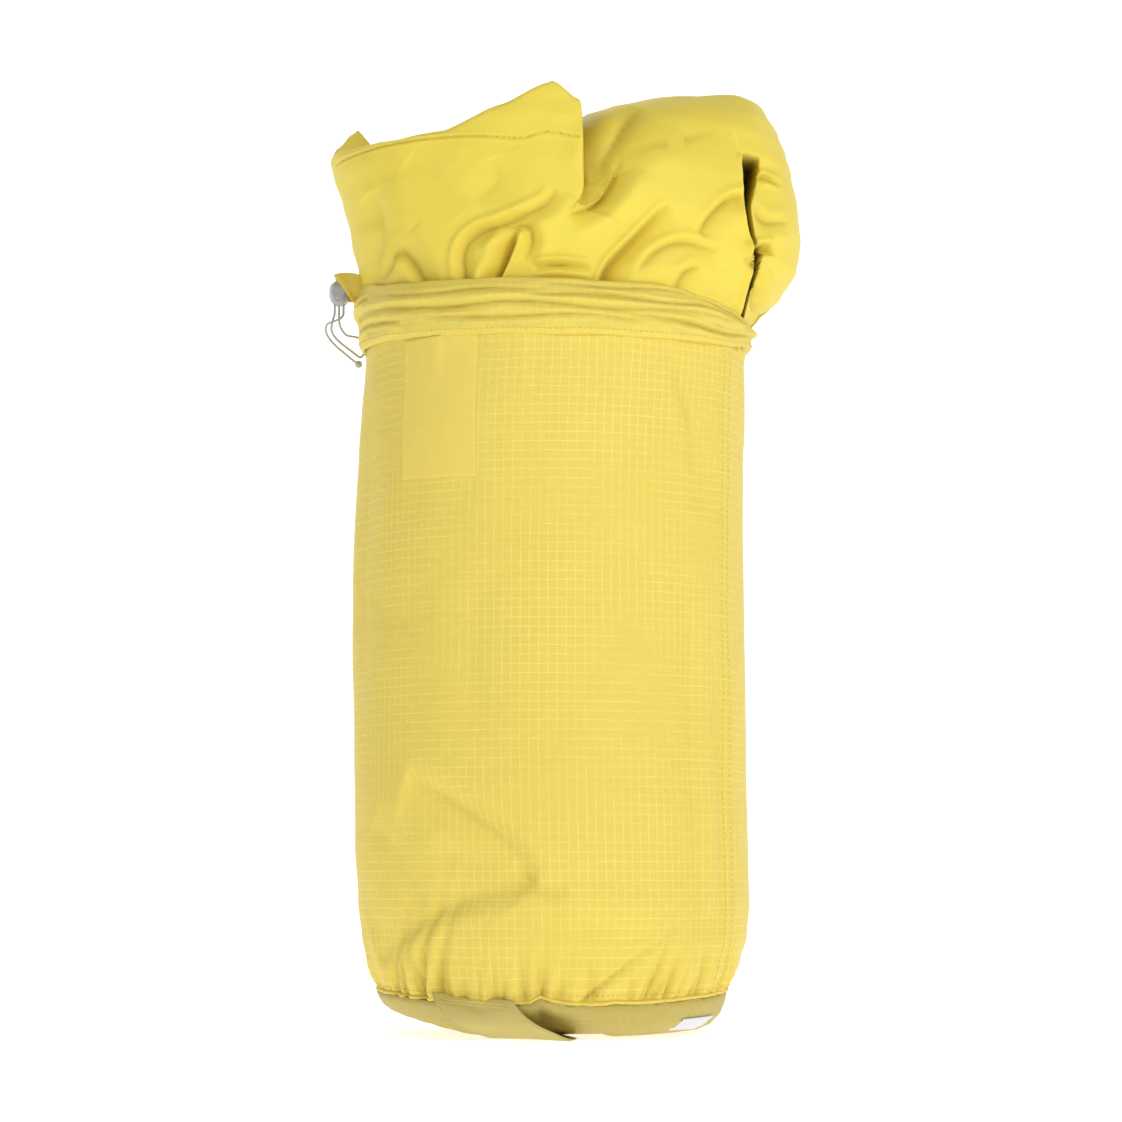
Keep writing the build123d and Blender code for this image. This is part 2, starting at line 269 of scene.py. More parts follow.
def crease(x, y, route, depth, width, other_width=None, shoulder=0.35, ends=(0.0, 0.0), blunt=0.7):
    """A fold along a route, sharp in the middle and soft at its sides: its relief, and the shade painted
    along its floor.
    width is on the right of the route's direction and other_width on its left. ends says how much of
    the depth is left at the start and at the end."""
    line = smooth_route(route)
    best = np.full(x.shape, 1e9)
    along = np.zeros(x.shape)
    side = np.zeros(x.shape)
    reach = max(width, other_width or width) * 6
    near = (x > line[:, 0].min() - reach) & (x < line[:, 0].max() + reach)
    near &= (y > line[:, 1].min() - reach) & (y < line[:, 1].max() + reach)
    px, py = x[near], y[near]
    best_n, along_n, side_n = best[near], along[near], side[near]
    count = len(line) - 1
    for i, (a, b) in enumerate(zip(line, line[1:])):
        run = b - a
        share = np.clip(((px - a[0]) * run[0] + (py - a[1]) * run[1]) / (run @ run), 0, 1)
        dx, dy = px - a[0] - share * run[0], py - a[1] - share * run[1]
        distance = np.hypot(dx, dy)
        closer = distance < best_n
        best_n = np.where(closer, distance, best_n)
        along_n = np.where(closer, (i + share) / count, along_n)
        side_n = np.where(closer, np.sign(dx * run[1] - dy * run[0]), side_n)
    best[near], along[near], side[near] = best_n, along_n, side_n
    spread = np.where(side >= 0, width, other_width or width)
    fade = ends[0] * (1 - along) + ends[1] * along
    body = np.sin(pi * np.clip(along, 0, 1)) ** 0.6
    strength = fade + (1 - fade) * body
    valley = np.exp(-(np.sqrt(best**2 + blunt**2) - blunt) / spread)
    ridge = np.exp(-(((best - 2.2 * spread) / (1.1 * spread)) ** 2))
    # floor is painted shade: how dark the crease's bottom is painted into the cloth's colour.
    floor = np.exp(-best / (0.38 * spread + 0.25 * blunt)) * strength * smooth_step(depth / spread, 0.08, 0.9)
    return depth * strength * (shoulder * ridge - valley), floor


# %% Grid to mesh
def cloth_mesh(name, points, flat, closed=False):
    """A mesh from a grid of points in millimetres, rows going up, columns going to the right.
    flat holds each point's place on the flat cloth in millimetres, with one more column if closed."""
    rows, columns = points.shape[:2]
    mesh = bpy.data.meshes.new(name)
    wide = columns if closed else columns - 1
    row, column = np.meshgrid(np.arange(rows - 1), np.arange(wide), indexing="ij")
    after = (column + 1) % columns
    corners = [(row, column), (row, after), (row + 1, after), (row + 1, column)]
    faces = np.stack([r * columns + c for r, c in corners], axis=-1).reshape(-1, 4)
    flat_corners = [(row, column), (row, column + 1), (row + 1, column + 1), (row + 1, column)]
    uv = np.stack([flat[r, c] for r, c in flat_corners], axis=-2).reshape(-1, 2)
    mesh.from_pydata((points.reshape(-1, 3) * MM).tolist(), [], faces.tolist())
    layer = mesh.uv_layers.new(name="cloth")
    layer.data.foreach_set("uv", (uv * MM).astype(np.float32).ravel())
    mesh.shade_smooth()
    piece = bpy.data.objects.new(name, mesh)
    bpy.context.scene.collection.objects.link(piece)
    return piece


def set_painted_shade(piece, dark, name="fold"):
    """Keeps the shade painted at each point, darkest at fold floors and in the slit, for the cloth's colour.
    """
    layer = piece.data.attributes.new(name, "FLOAT", "POINT")
    layer.data.foreach_set("value", np.clip(dark, 0, 1).astype(np.float32).ravel())


def arc_lengths(points, axis):
    """Distance along each row or column of a grid, starting at 0."""
    runs = np.linalg.norm(np.diff(points, axis=axis), axis=-1)
    first = np.zeros_like(np.take(runs, [0], axis=axis))
    return np.concatenate([first, np.cumsum(runs, axis=axis)], axis=axis)


def pick(piece):
    """Selects one piece alone and makes it the active one."""
    bpy.ops.object.select_all(action="DESELECT")
    piece.select_set(True)
    bpy.context.view_layer.objects.active = piece


def apply_modifiers(piece):
    """Applies every modifier on a piece, as the Apply button does."""
    pick(piece)
    for modifier in list(piece.modifiers):
        bpy.ops.object.modifier_apply(modifier=modifier.name)


def thicken(piece, thickness):
    """Gives a cloth its thickness, inwards from the face that shows."""
    solid = piece.modifiers.new("thickness", "SOLIDIFY")
    solid.thickness = thickness * MM
    solid.offset = -1
    apply_modifiers(piece)


def weld_seam(piece):
    """Joins the points that lie on top of each other where a closed band meets itself."""
    weld = piece.modifiers.new("weld", "WELD")
    weld.merge_threshold = 0.00002
    apply_modifiers(piece)


def face_outwards(piece):
    """Turns a closed piece's faces outwards."""
    pick(piece)
    bpy.ops.object.mode_set(mode="EDIT")
    bpy.ops.mesh.select_all(action="SELECT")
    bpy.ops.mesh.normals_make_consistent(inside=False)
    bpy.ops.object.mode_set(mode="OBJECT")


# %% [markdown]
# ## The cloth tube
# The tube is cut flat, sewn up one side and filled. It is a straight cylinder drawn in at the base
# seam, where the spare cloth gathers into short puckers. What is packed inside pushes it out in soft
# lumps, and it sinks in folds low on the left. One function gives its surface, so that the patch,
# the side seam and the stitches can lie on it.

# %% Surface of the tube
TUBE_BOTTOM = tube_low.z
TUBE_TOP = tube_high.z
SIDE_SEAM = 61.0
SEAM_RADIUS = 91.4
FULL_RADIUS = tube_high.x
TUBE_RISE = [  # height, middle in x, radius
    (TUBE_BOTTOM, 1.0, SEAM_RADIUS), (25.0, 1.2, 93.4), (30.0, 1.3, 96.0), (37.0, 1.4, 98.8),
    (50.0, 2.0, 102.4), (70.0, 1.8, 104.3), (96.0, 1.0, 105.3), (150.0, 0.0, 105.3),
    (240.0, 0.0, 104.6), (310.0, 0.8, 103.6), (350.0, 2.4, 102.8), (TUBE_TOP, 2.4, 102.6),
]
SEAM_DROP = [  # angle, how far the base seam hangs below its usual height
    (-180, 0), (-95, -1.0), (-62, 1.2), (-38, 3.6), (-14, 5.0), (-7, 4.4), (-3.4, 1.4), (1, 3.4),
    (9, 4.8), (30, 4.2), (60, 2.0), (95, -1.0), (180, 0),
]
pucker_dice = np.random.default_rng(11)
PUCKERS = [
    (angle + pucker_dice.uniform(-3.5, 3.5), pucker_dice.uniform(0.9, 2.6), pucker_dice.uniform(1.8, 3.8),
     pucker_dice.uniform(7, 24), pucker_dice.uniform(-0.4, 0.4))
    for angle in np.arange(-180, 180, 4.6)
]
DEEP_PUCKERS = [  # angle, depth, width, height, lean
    (-60, 3.4, 3.2, 26, 0.45), (-54, 3.0, 2.8, 18, 0.1), (-46, 3.8, 3.4, 34, 0.4),
    (-38, 2.8, 3.0, 30, 0.35),
    (-3, 2.6, 2.6, 12, 0.1), (9, 3.0, 2.6, 22, 1.5), (31, 3.0, 3.0, 28, 0.25), (38, 3.0, 2.6, 20, 0.2),
    (53, 2.6, 3.0, 26, 0.0), (66, 2.6, 3.0, 22, 0.1),
]
TUBE_FOLDS = [  # route of (angle, height), depth, width right, width left, shoulder
    ([(-44, 132), (-29, 119), (-15, 102), (-4, 80)], 8.0, 24, 5.0, 0.12),
    ([(-66, 40), (-47, 56), (-26, 71), (-4, 79)], 6.5, 5.0, 24, 0.12),
    ([(-11, 85), (-4, 78), (4, 74)], 3.4, 3.0, 3.6, 0.2),
    ([(-60, 110), (-50, 92), (-42, 66)], 3.0, 12, 9, 0.2),
    ([(-36, 96), (-26, 92), (-16, 84)], 1.6, 5, 5, 0.4),
    ([(43, 240), (45, 170), (46, 95), (48, 40)], 3.4, 12, 6, 0.3),
    ([(55, 200), (57, 130), (56, 70), (52, 34)], 2.4, 6, 9, 0.3),
    ([(34, 354), (41, 330), (46, 308), (47, 270)], 2.8, 4, 14, 0.2),
    ([(-66, 330), (-70, 250), (-68, 170)], 2.0, 10, 14, 0.2),
    ([(-20, 240), (-22, 180), (-17, 130)], 1.4, 9, 12, 0.2),
    ([(6, 62), (18, 52), (30, 50)], 2.4, 10, 7, 0.2),
    ([(-62, 226), (-50, 214), (-34, 218)], 1.0, 9, 9, 0.2),
    ([(-120, 300), (-128, 200), (-118, 110)], 4.0, 16, 12, 0.3),
    ([(120, 280), (112, 180), (124, 90)], 4.0, 12, 18, 0.3),
    ([(165, 330), (172, 240), (160, 140), (166, 60)], 4.2, 12, 16, 0.3),
    ([(-160, 60), (-140, 90), (-115, 76)], 4.0, 9, 14, 0.3),
    ([(100, 60), (125, 86), (150, 80)], 3.6, 9, 14, 0.3),
]


def tube_radius(angle, height):
    """Distance of the tube's cloth from its middle, in mm, at angles in degrees right of the front, and the
    shade painted in its puckers.
    """
    middle, radius = read_table(height, TUBE_RISE)
    arc = np.radians(angle) * FULL_RADIUS
    around = angle / 360
    radius = radius + 1.3 * smooth_noise(around * 7, height / 120, 1, wrap=7)
    radius = radius + 0.6 * smooth_noise(around * 16, height / 55, 2, wrap=16)
    radius = radius + 0.22 * smooth_noise(around * 60, height / 16, 3, wrap=60)
    dark = np.zeros(radius.shape)
    for route, depth, right, left, shoulder in TUBE_FOLDS:
        line = [(radians(a) * FULL_RADIUS, z) for a, z in route]
        radius = radius + crease(arc, height, line, depth, right, left, shoulder=shoulder, blunt=2.0)[0]
    above = height - TUBE_BOTTOM
    for place, depth, width, tall, lean in PUCKERS + DEEP_PUCKERS:
        offset = (angle - place + 180) % 360 - 180
        distance = np.radians(offset) * FULL_RADIUS - lean * above
        beside = (np.abs(distance) - 2 * width) / width
        fold = np.exp(-np.abs(distance) / width) - 0.35 * np.exp(-beside**2)
        share = fold * np.exp(-((above / tall) ** 1.6)) * smooth_step(above, -1, 3)
        radius = radius - 1.4 * depth * share
        # Painted shade: the hollow of each pucker is marked dark for the cloth's colour.
        dark = np.maximum(dark, np.clip(share, 0, 1) ** 2 * min(1, depth / 3.5))
    gathers = smooth_noise(around * 80, height / 60, 5, wrap=80)
    radius = radius + 0.8 * gathers * smooth_step(height, TUBE_TOP - 60, TUBE_TOP - 8)
    return middle, radius, dark


def tube_point(angle, height, lift=0.0):
    """Points on the tube, lifted off the cloth by lift."""
    middle, radius = tube_radius(angle, height)[:2]
    turn = np.radians(angle)
    radius = radius + lift
    drop = read_table((angle + 180) % 360 - 180, SEAM_DROP)[0] * np.exp(-(height - TUBE_BOTTOM) / 12)
    return np.stack([middle + radius * np.sin(turn), -radius * np.cos(turn), height - drop], axis=-1)


# %% Mesh of the tube
TUBE_COLUMNS, TUBE_ROWS = 400, 118
tube_angles = SIDE_SEAM + np.arange(TUBE_COLUMNS) * 360 / TUBE_COLUMNS
rise = np.linspace(0, 1, TUBE_ROWS) ** 1.15
tube_heights = TUBE_BOTTOM + (TUBE_TOP - 1.0 - TUBE_BOTTOM) * rise
angle_grid, height_grid = np.meshgrid(tube_angles, tube_heights)
angle_grid = (angle_grid + 180) % 360 - 180
tube_points = tube_point(angle_grid, height_grid)
tube_round = np.linspace(0, 2 * pi * FULL_RADIUS, TUBE_COLUMNS + 1)
tube_flat = np.stack(np.meshgrid(tube_round, tube_heights), axis=-1)
cloth_tube = cloth_mesh("cloth_tube", tube_points, tube_flat, closed=True)
set_painted_shade(cloth_tube, tube_radius(angle_grid, height_grid)[2])
print("tube", len(cloth_tube.data.polygons), "faces")
thicken(cloth_tube, 0.9)
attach(cloth_tube, "sack")
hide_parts("body_panel")

# %% [markdown]
# ## Stitches
# A sewn line is many short loops of thread, each sunk in the cloth at both ends. One low capsule is
# worked out and repeated along a line of points that lies on the cloth, so the line follows every
# pucker.


# %% A row of stitches
def stitch_row(name, lines, outward, pitch=3.0, length=2.1, width=0.62):
    """One mesh of stitches along lines of points in mm. outward holds the cloth's normals there."""
    rings, sides = 5, 6
    along = np.linspace(-1, 1, rings)
    swell = np.sqrt(np.clip(1.04 - along**2, 0, 1))
    turn = np.arange(sides) * 2 * pi / sides
    vertices, faces = [], []
    for line, normals in zip(lines, outward):
        travel = np.concatenate([[0], np.cumsum(np.linalg.norm(np.diff(line, axis=0), axis=1))])
        places = np.arange(pitch / 2, travel[-1], pitch)
        spots = np.stack([np.interp(places, travel, line[:, k]) for k in range(3)], axis=1)
        ahead = np.stack([np.interp(places + 0.5, travel, line[:, k]) for k in range(3)], axis=1)
        up = np.stack([np.interp(places, travel, normals[:, k]) for k in range(3)], axis=1)
        run = ahead - spots
        run /= np.maximum(np.linalg.norm(run, axis=1, keepdims=True), 1e-6)
        up -= run * np.sum(up * run, axis=1, keepdims=True)
        up /= np.maximum(np.linalg.norm(up, axis=1, keepdims=True), 1e-6)
        across = np.cross(run, up)
        for spot, r, n, c in zip(spots, run, up, across):
            first = len(vertices)
            for share, fat in zip(along, swell):
                for t in turn:
                    vertices.append(spot + r * share * length / 2 + c * cos(t) * fat * width / 2
                                    + n * (sin(t) * fat * width / 2 + 0.12 - 0.25 * share**2))
            for i in range(rings - 1):
                for j in range(sides):
                    k = (j + 1) % sides
                    faces.append([first + i * sides + j, first + i * sides + k,
                                  first + (i + 1) * sides + k, first + (i + 1) * sides + j])
            faces.append([first + j for j in reversed(range(sides))])
            faces.append([first + (rings - 1) * sides + j for j in range(sides)])
    mesh = bpy.data.meshes.new(name)
    mesh.from_pydata((np.array(vertices) * MM).tolist(), [], faces)
    mesh.shade_smooth()
    piece = bpy.data.objects.new(name, mesh)
    bpy.context.scene.collection.objects.link(piece)
    face_outwards(piece)
    print(name, len(faces) // ((rings - 1) * sides + 2), "stitches")
    return piece


def ring_normals(angles):
    """Level outward directions at angles in degrees right of the front."""
    turn = np.radians(angles)
    return np.stack([np.sin(turn), -np.cos(turn), 0 * turn], axis=-1)


# %% [markdown]
# ## Side seam and patch
# The tube's two edges are lapped and sewn down with two rows of stitches: a narrow raised strip. The
# smooth rectangle at the upper left is a second layer of plain cloth on the ripstop. Both are small
# grids on the tube's own surface, lifted a little off it.

# %% Side seam
SEAM_HALF = 5.1
seam_heights = np.linspace(TUBE_BOTTOM + 0.8, TUBE_TOP - 3, 190)
seam_across = np.linspace(-1, 1, 15)
seam_grid, seam_height_grid = np.meshgrid(SIDE_SEAM + np.degrees(seam_across * SEAM_HALF / 105), seam_heights)
seam_lift = 0.75 * (1 - np.abs(seam_across) ** 6) - 0.15
seam_points = tube_point(seam_grid, seam_height_grid, lift=seam_lift[None, :])
seam_flat = np.stack(np.meshgrid(seam_across * SEAM_HALF + 1.3, seam_heights), axis=-1)
seam_strip = cloth_mesh("seam_strip", seam_points, seam_flat)
thicken(seam_strip, 0.6)
SEAM_ROW_POINTS, SEAM_ROW_TURN, SEAM_ROW_LIFT = 300, 1.7, 0.62
seam_rise = np.linspace(TUBE_BOTTOM + 2, TUBE_TOP - 3, SEAM_ROW_POINTS)
seam_lines = [
    tube_point(np.full(SEAM_ROW_POINTS, SIDE_SEAM + side * SEAM_ROW_TURN), seam_rise, SEAM_ROW_LIFT)
    for side in (-1, 1)
]
seam_normals = ring_normals(np.full(SEAM_ROW_POINTS, SIDE_SEAM))
seam_stitches = stitch_row("side_seam_stitches", seam_lines, [seam_normals] * 2)

# %% Patch
PATCH_LEFT, PATCH_RIGHT, PATCH_LOW, PATCH_HIGH, PATCH_SKEW = -48.5, -22.5, 285.0, 358.0, 1.2
patch_across, patch_up = np.meshgrid(np.linspace(0, 1, 80), np.linspace(0, 1, 90))
patch_angle = PATCH_LEFT + (PATCH_RIGHT - PATCH_LEFT) * patch_across + PATCH_SKEW * (1 - patch_up)
patch_height = PATCH_LOW + (PATCH_HIGH - PATCH_LOW) * patch_up - 1.5 * patch_across * (1 - patch_up)
patch_edge = np.minimum.reduce([patch_across, 1 - patch_across, patch_up])
patch_points = tube_point(patch_angle, patch_height, lift=0.42 * smooth_step(patch_edge, -0.02, 0.02))
patch_flat = np.stack([patch_across * 47, patch_up * 73], axis=-1)
plain_patch = cloth_mesh("plain_patch", patch_points, patch_flat)
thicken(plain_patch, 0.35)
for piece, node, slot_name in (
    (seam_strip, "side_seam", "ripstop"),
    (seam_stitches, "side_seam_thread", "thread"),
    (plain_patch, "body_patch", "plain_cloth"),
):
    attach(piece, "sack")
    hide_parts(node)

# %% [markdown]
# ## The drawcord hem
# The mouth's edge is folded over into a channel for the cord and sewn down. With no pull on the cord
# it lies in two slack rolls with many level wrinkles, higher at the left where the cord comes out.
# It is one closed band: up the outside, over the top, and down the inside.

# %% Surface of the hem
HEM_EDGES = [  # angle, lower edge, upper edge
    (-180, 360, 389), (-140, 361, 394), (-110, 363, 401), (-92, 363.5, 401.5), (-84, 363, 399),
    (-72, 361.5, 395), (-60, 360, 391.5), (-45, 358.5, 388), (-20, 356, 385.5), (0, 355, 384),
    (25, 355.5, 384), (45, 356.5, 382.5), (60, 358, 380), (75, 362.5, 377.5), (90, 366, 377.5),
    (120, 362, 380), (150, 361, 384), (180, 360, 389),
]
HEM_MIDDLE, HEM_RADIUS, HEM_INNER_RADIUS = 3.2, 104.6, 100.9
HEM_WRINKLES = [  # route of (angle, share of the height), depth, width
    ([(-90, 0.42), (-60, 0.56), (-35, 0.50), (-10, 0.56), (15, 0.47), (40, 0.55), (62, 0.62)], 1.5, 0.050),
    ([(-62, 0.80), (-40, 0.74), (-22, 0.80), (-4, 0.76)], 1.0, 0.035),
    ([(-40, 0.36), (-16, 0.30), (6, 0.36), (24, 0.30)], 0.9, 0.035),
    ([(-8, 0.66), (12, 0.72), (30, 0.64), (48, 0.74), (70, 0.70)], 1.3, 0.040),
    ([(20, 0.40), (40, 0.34), (55, 0.26), (78, 0.40)], 1.2, 0.040),
    ([(-84, 0.26), (-66, 0.34), (-48, 0.30)], 1.0, 0.035),
    ([(45, 0.86), (64, 0.80), (84, 0.60)], 1.1, 0.035),
    ([(-91, 0.50), (-82, 0.66), (-69, 0.76)], 2.8, 0.03),
    ([(-4, 0.90), (18, 0.86), (40, 0.92)], 0.8, 0.030),
    ([(100, 0.5), (130, 0.6), (165, 0.5)], 1.6, 0.05),
    ([(-175, 0.4), (-140, 0.55), (-105, 0.45)], 1.6, 0.05),
    ([(110, 0.75), (150, 0.8)], 1.2, 0.04), ([(-160, 0.8), (-120, 0.72)], 1.2, 0.04),
    ([(120, 0.28), (160, 0.32)], 1.2, 0.04), ([(-150, 0.25), (-115, 0.3)], 1.2, 0.04),
]
HEM_COLUMNS, HEM_ROWS_OUT, HEM_ROWS_IN = 540, 46, 12
hem_angles = np.arange(HEM_COLUMNS) * 360 / HEM_COLUMNS - 180


def hem_point(angle, share, lift=0.0):
    """Points on the outside of the hem, and the shade painted in its wrinkles; share goes from 0 at its sewn
    edge to 1 at the top.
    """
    low, high = read_table(angle, HEM_EDGES)
    around = angle / 360
    high = high + 0.7 * smooth_noise(around * 24, 0 * around, 21, wrap=24)
    low = low + 0.5 * smooth_noise(around * 30, 0 * around, 22, wrap=30)
    out = 0.4 + 2.4 * np.sin(pi * np.clip(share, 0, 1)) ** 0.45
    sway = 0.12 * smooth_noise(around * 10, 0 * around, 23, wrap=10)
    out = out + 0.9 * np.sin(2 * pi * (share * 1.9 + 0.06 + sway))
    lumps = smooth_noise(around * 34, share * 5 + 9, 24, wrap=34)
    out = out + 0.9 * lumps * np.sin(pi * np.clip(share, 0, 1))
    out = out + 0.35 * smooth_noise(around * 90, share * 9 + 3, 25, wrap=90)
    # dark is the shade painted at the floors of the hem's wrinkles, for the cloth's colour.
    dark = np.zeros(out.shape)
    for route, depth, width in HEM_WRINKLES:
        line = [(a / 360 * 20, s) for a, s in route]
        relief, floor = crease(around * 20, share, line, 1.5 * depth, width, shoulder=0.5, blunt=0.006)
        out, dark = out + relief, np.maximum(dark, floor)
    turn = np.radians(angle)
    radius = HEM_RADIUS + out + lift
    radius = radius - 2.0 * smooth_step(share, 0.86, 1.06) - 1.6 * (1 - smooth_step(share, 0.0, 0.4))
    height = low + (high - low) * share
    return np.stack([HEM_MIDDLE + radius * np.sin(turn), -radius * np.cos(turn), height], axis=-1), dark


# %% Mesh of the hem
outside_share = np.linspace(0, 1, HEM_ROWS_OUT)
angle_grid, share_grid = np.meshgrid(hem_angles, outside_share)
hem_outside, hem_painted_shade = hem_point(angle_grid, share_grid)
inside_share = np.linspace(0, 1, HEM_ROWS_IN + 2)[1:-1]
hem_turn = np.radians(hem_angles)
hem_inner = np.stack([
    HEM_MIDDLE - 0.9 + HEM_INNER_RADIUS * np.sin(hem_turn),
    -HEM_INNER_RADIUS * np.cos(hem_turn),
], axis=-1)
top_heights, low_heights = hem_outside[-1, :, 2], hem_outside[0, :, 2]
hem_inside = np.stack([
    np.concatenate([
        hem_outside[-1, :, :2] * (1 - blend) + hem_inner * blend,
        (top_heights * (1 - part) + low_heights * part + 1.1 * sin(pi * min(1, part * 6)))[:, None],
    ], axis=1)
    for part, blend in zip(inside_share, np.minimum(1, inside_share * 7))
])
hem_points = np.concatenate([hem_outside, hem_inside, hem_outside[:1]])
hem_flat = np.stack(np.meshgrid(
    np.linspace(0, 2 * pi * HEM_RADIUS, HEM_COLUMNS + 1),
    np.linspace(0, 66, len(hem_points)),
), axis=-1)
mouth_hem = cloth_mesh("mouth_hem", hem_points, hem_flat, closed=True)
set_painted_shade(mouth_hem, np.concatenate([hem_painted_shade, np.zeros((len(hem_points) - HEM_ROWS_OUT, HEM_COLUMNS))]))
weld_seam(mouth_hem)
ROW_POINTS = 900
row_angles = np.linspace(-180, 180, ROW_POINTS)
hem_line = hem_point(row_angles, np.full(ROW_POINTS, 0.10), 0.1)[0]
hem_stitches = stitch_row("hem_stitches", [hem_line], [ring_normals(row_angles)])
for piece, node, slot_name in (
    (mouth_hem, "channel_hem", "ripstop"),
    (hem_stitches, "channel_thread", "thread"),
):
    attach(piece, "sack")
    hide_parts(node)

# %% [markdown]
# The drawcord runs round inside the hem, so it rises and falls with it and stays hidden between the
# hem's two faces. It is a thin tube along the middle of that gap.

# %% Drawcord inside the hem
RING_COLUMNS, RING_SIDES, RING_RADIUS = 360, 8, 102.9
ring_angles = np.arange(RING_COLUMNS) * 360 / RING_COLUMNS - 180
ring_low, ring_high = read_table(ring_angles, HEM_EDGES)
ring_out = ring_normals(ring_angles)
ring_core = ring_out * RING_RADIUS + np.array((HEM_MIDDLE - 0.45, 0, 0))
ring_core[:, 2] = ring_low + 0.55 * (ring_high - ring_low)
ring_points = np.stack([
    ring_core + (ring_out * cos(t) + np.array((0, 0, sin(t)))) * CORD_DIAMETER / 2 / MM
    for t in -np.arange(RING_SIDES + 1) * 2 * pi / RING_SIDES
])
ring_flat = np.stack(np.meshgrid(
    np.linspace(0, 647, RING_COLUMNS + 1),
    np.linspace(0, 3.8, RING_SIDES + 1),
), axis=-1)
hem_cord = cloth_mesh("drawcord_in_hem", ring_points, ring_flat, closed=True)
weld_seam(hem_cord)
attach(hem_cord, "sack")
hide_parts("drawcord_ring")
print("drawcord in the hem", len(hem_cord.data.polygons), "faces")

# %% [markdown]
# ## The ear where the cord comes out
# At the left the channel's end stands up as a small hood of cloth, open on a slant, and the cord and
# its lock come out from under it. It is one bent sheet: a front flap, a roof, and a short back flap.

# %% Ear
EAR_ROOT_LOW, EAR_ROOT_HIGH = np.array((-97.0, 380.5)), np.array((-95.0, 400.6))
EAR_END_LOW, EAR_END_HIGH = np.array((-101.2, 383.2)), np.array((-116.9, 404.9))
EAR_FRONT, EAR_BACK = -8.6, 9.2
ear_out = np.linspace(0, 1, 34)[None, :]
ear_round = np.linspace(0, 1, 60)[:, None]
ear_low = EAR_ROOT_LOW + (EAR_END_LOW - EAR_ROOT_LOW) * ear_out[..., None]
ear_high = EAR_ROOT_HIGH + (EAR_END_HIGH - EAR_ROOT_HIGH) * ear_out[..., None]
ear_high = ear_high + np.array((0, 3.4)) * np.sin(pi * ear_out[..., None]) ** 0.8
front_share = np.clip(ear_round / 0.5, 0, 1)
over_share = smooth_step(ear_round, 0.5, 0.8)
drop_share = np.clip((ear_round - 0.8) / 0.2, 0, 1)
ear_xz = ear_low * (1 - front_share[..., None]) + ear_high * front_share[..., None]
ear_x = ear_xz[..., 0] + 0.8 * drop_share
ear_y = EAR_FRONT + (EAR_BACK - EAR_FRONT) * over_share + 0 * ear_out
ear_y = ear_y - 1.9 * np.sin(pi * front_share) * (1 - over_share) * (0.5 + 0.5 * ear_out)
ear_y = ear_y + 1.1 * smooth_noise(ear_out * 3 + 5, ear_round * 6, 31) * (1 - over_share)
ear_z = ear_xz[..., 1] + 0.9 * np.sin(pi * over_share) - 13 * drop_share
ear_points = np.stack([ear_x, ear_y, ear_z], axis=-1)
ear_flat = np.stack([ear_out * 20 + 0 * ear_round, ear_round * 60 + 0 * ear_out], axis=-1)
cord_ear = cloth_mesh("cord_ear", ear_points[:, ::-1], ear_flat)
thicken(cord_ear, 0.9)
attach(cord_ear, "sack")
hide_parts("channel_spout")

# %% [markdown]
# ## The rolled sheet
# What stands out of the mouth is one big sheet, folded and rolled up. Its outer turn is worked out
# as a surface round the roll: at the left its thin edge leans out, and at the right the cloth bulges
# over the mouth and turns in at the top. Folds are creases with a sharp floor, where shade is also
# painted into the colour, and at the right two edges of the sheet part in a deep slit whose shade is painted
# dark.

# %% Plan and top edge of the roll
ROLL_MIDDLE = 5.0
ROLL_PLAN = [  # height, reach to the left, reach to the right, half width in y
    (31, 96, 86, 93), (60, 100, 91, 96.5), (330, 100, 96, 97), (372, 100, 98, 97.5),
    (384, 103, 108, 98), (388, 103.5, 113, 98.5), (394, 104.5, 119.5, 99.5), (407, 107.5, 127.7, 101),
    (425, 112, 131.3, 103), (445, 117.5, 130.7, 103), (459, 122.5, 127.5, 101.8),
    (470, 125.5, 124.2, 101), (481, 126, 119.6, 99), (491, 125.5, 113.5, 97), (502, 124, 106.5, 95),
]
ROLL_TOP = [  # angle, height, how far the top turns in, how far down the turn starts
    (-180, 481, 8, 12), (-150, 482, 6, 10), (-130, 484, 4, 6), (-122, 487.5, 2.2, 2.5),
    (-114.2, 495.4, 2.0, 2), (-113, 496.8, 2.0, 2), (-111.8, 494.8, 2.0, 2), (-100, 481, 2.0, 2.5),
    (-90, 470.5, 2.2, 3.5), (-80, 468.5, 2.2, 3.5), (-52, 465.0, 2.2, 3.5), (-42, 464.0, 2.2, 3.5),
    (-29, 464.6, 2.2, 3.5), (-14, 477, 2.2, 3.5), (-2.2, 488.7, 2.2, 2.5), (-1.7, 489.6, 2.0, 2),
    (-1.2, 489.0, 2.2, 2.5), (5.0, 479, 2.2, 3.5), (5.6, 476.5, 3, 4), (6.1, 478.5, 48, 44),
    (12, 483, 50, 44), (25, 488, 50, 40), (40, 493, 44, 34), (55, 495.4, 30, 22), (68, 498, 10, 10),
    (80, 498.5, 4, 5), (86, 497.2, 4, 6), (95, 494, 8, 12), (110, 490, 18, 18), (135, 487, 18, 18),
    (160, 484, 12, 14), (180, 481, 8, 12),
]
PLEAT = [(15, 423), (18.2, 431), (18.6, 445), (18.2, 466), (17.3, 484), (17.3, 505)]
SLIT = [
    (105.5, 457), (105, 448), (103.8, 436), (103.5, 428), (105.5, 417), (108.5, 407), (108.5, 401),
    (105.5, 391), (102, 378), (101, 372),
]
SLIT_HALF_WIDTH = [  # height, half the gap
    (370, 0.8), (390, 1.0), (400, 1.2), (405, 2.4), (410, 1.8), (420, 2.2), (430, 2.2), (437, 3.0),
    (444, 3.9), (453, 4.8), (458, 4.4),
]
FOLD_DEPTH, FOLD_WIDTH, FOLD_EDGE = 1.65, 0.72, 0.28
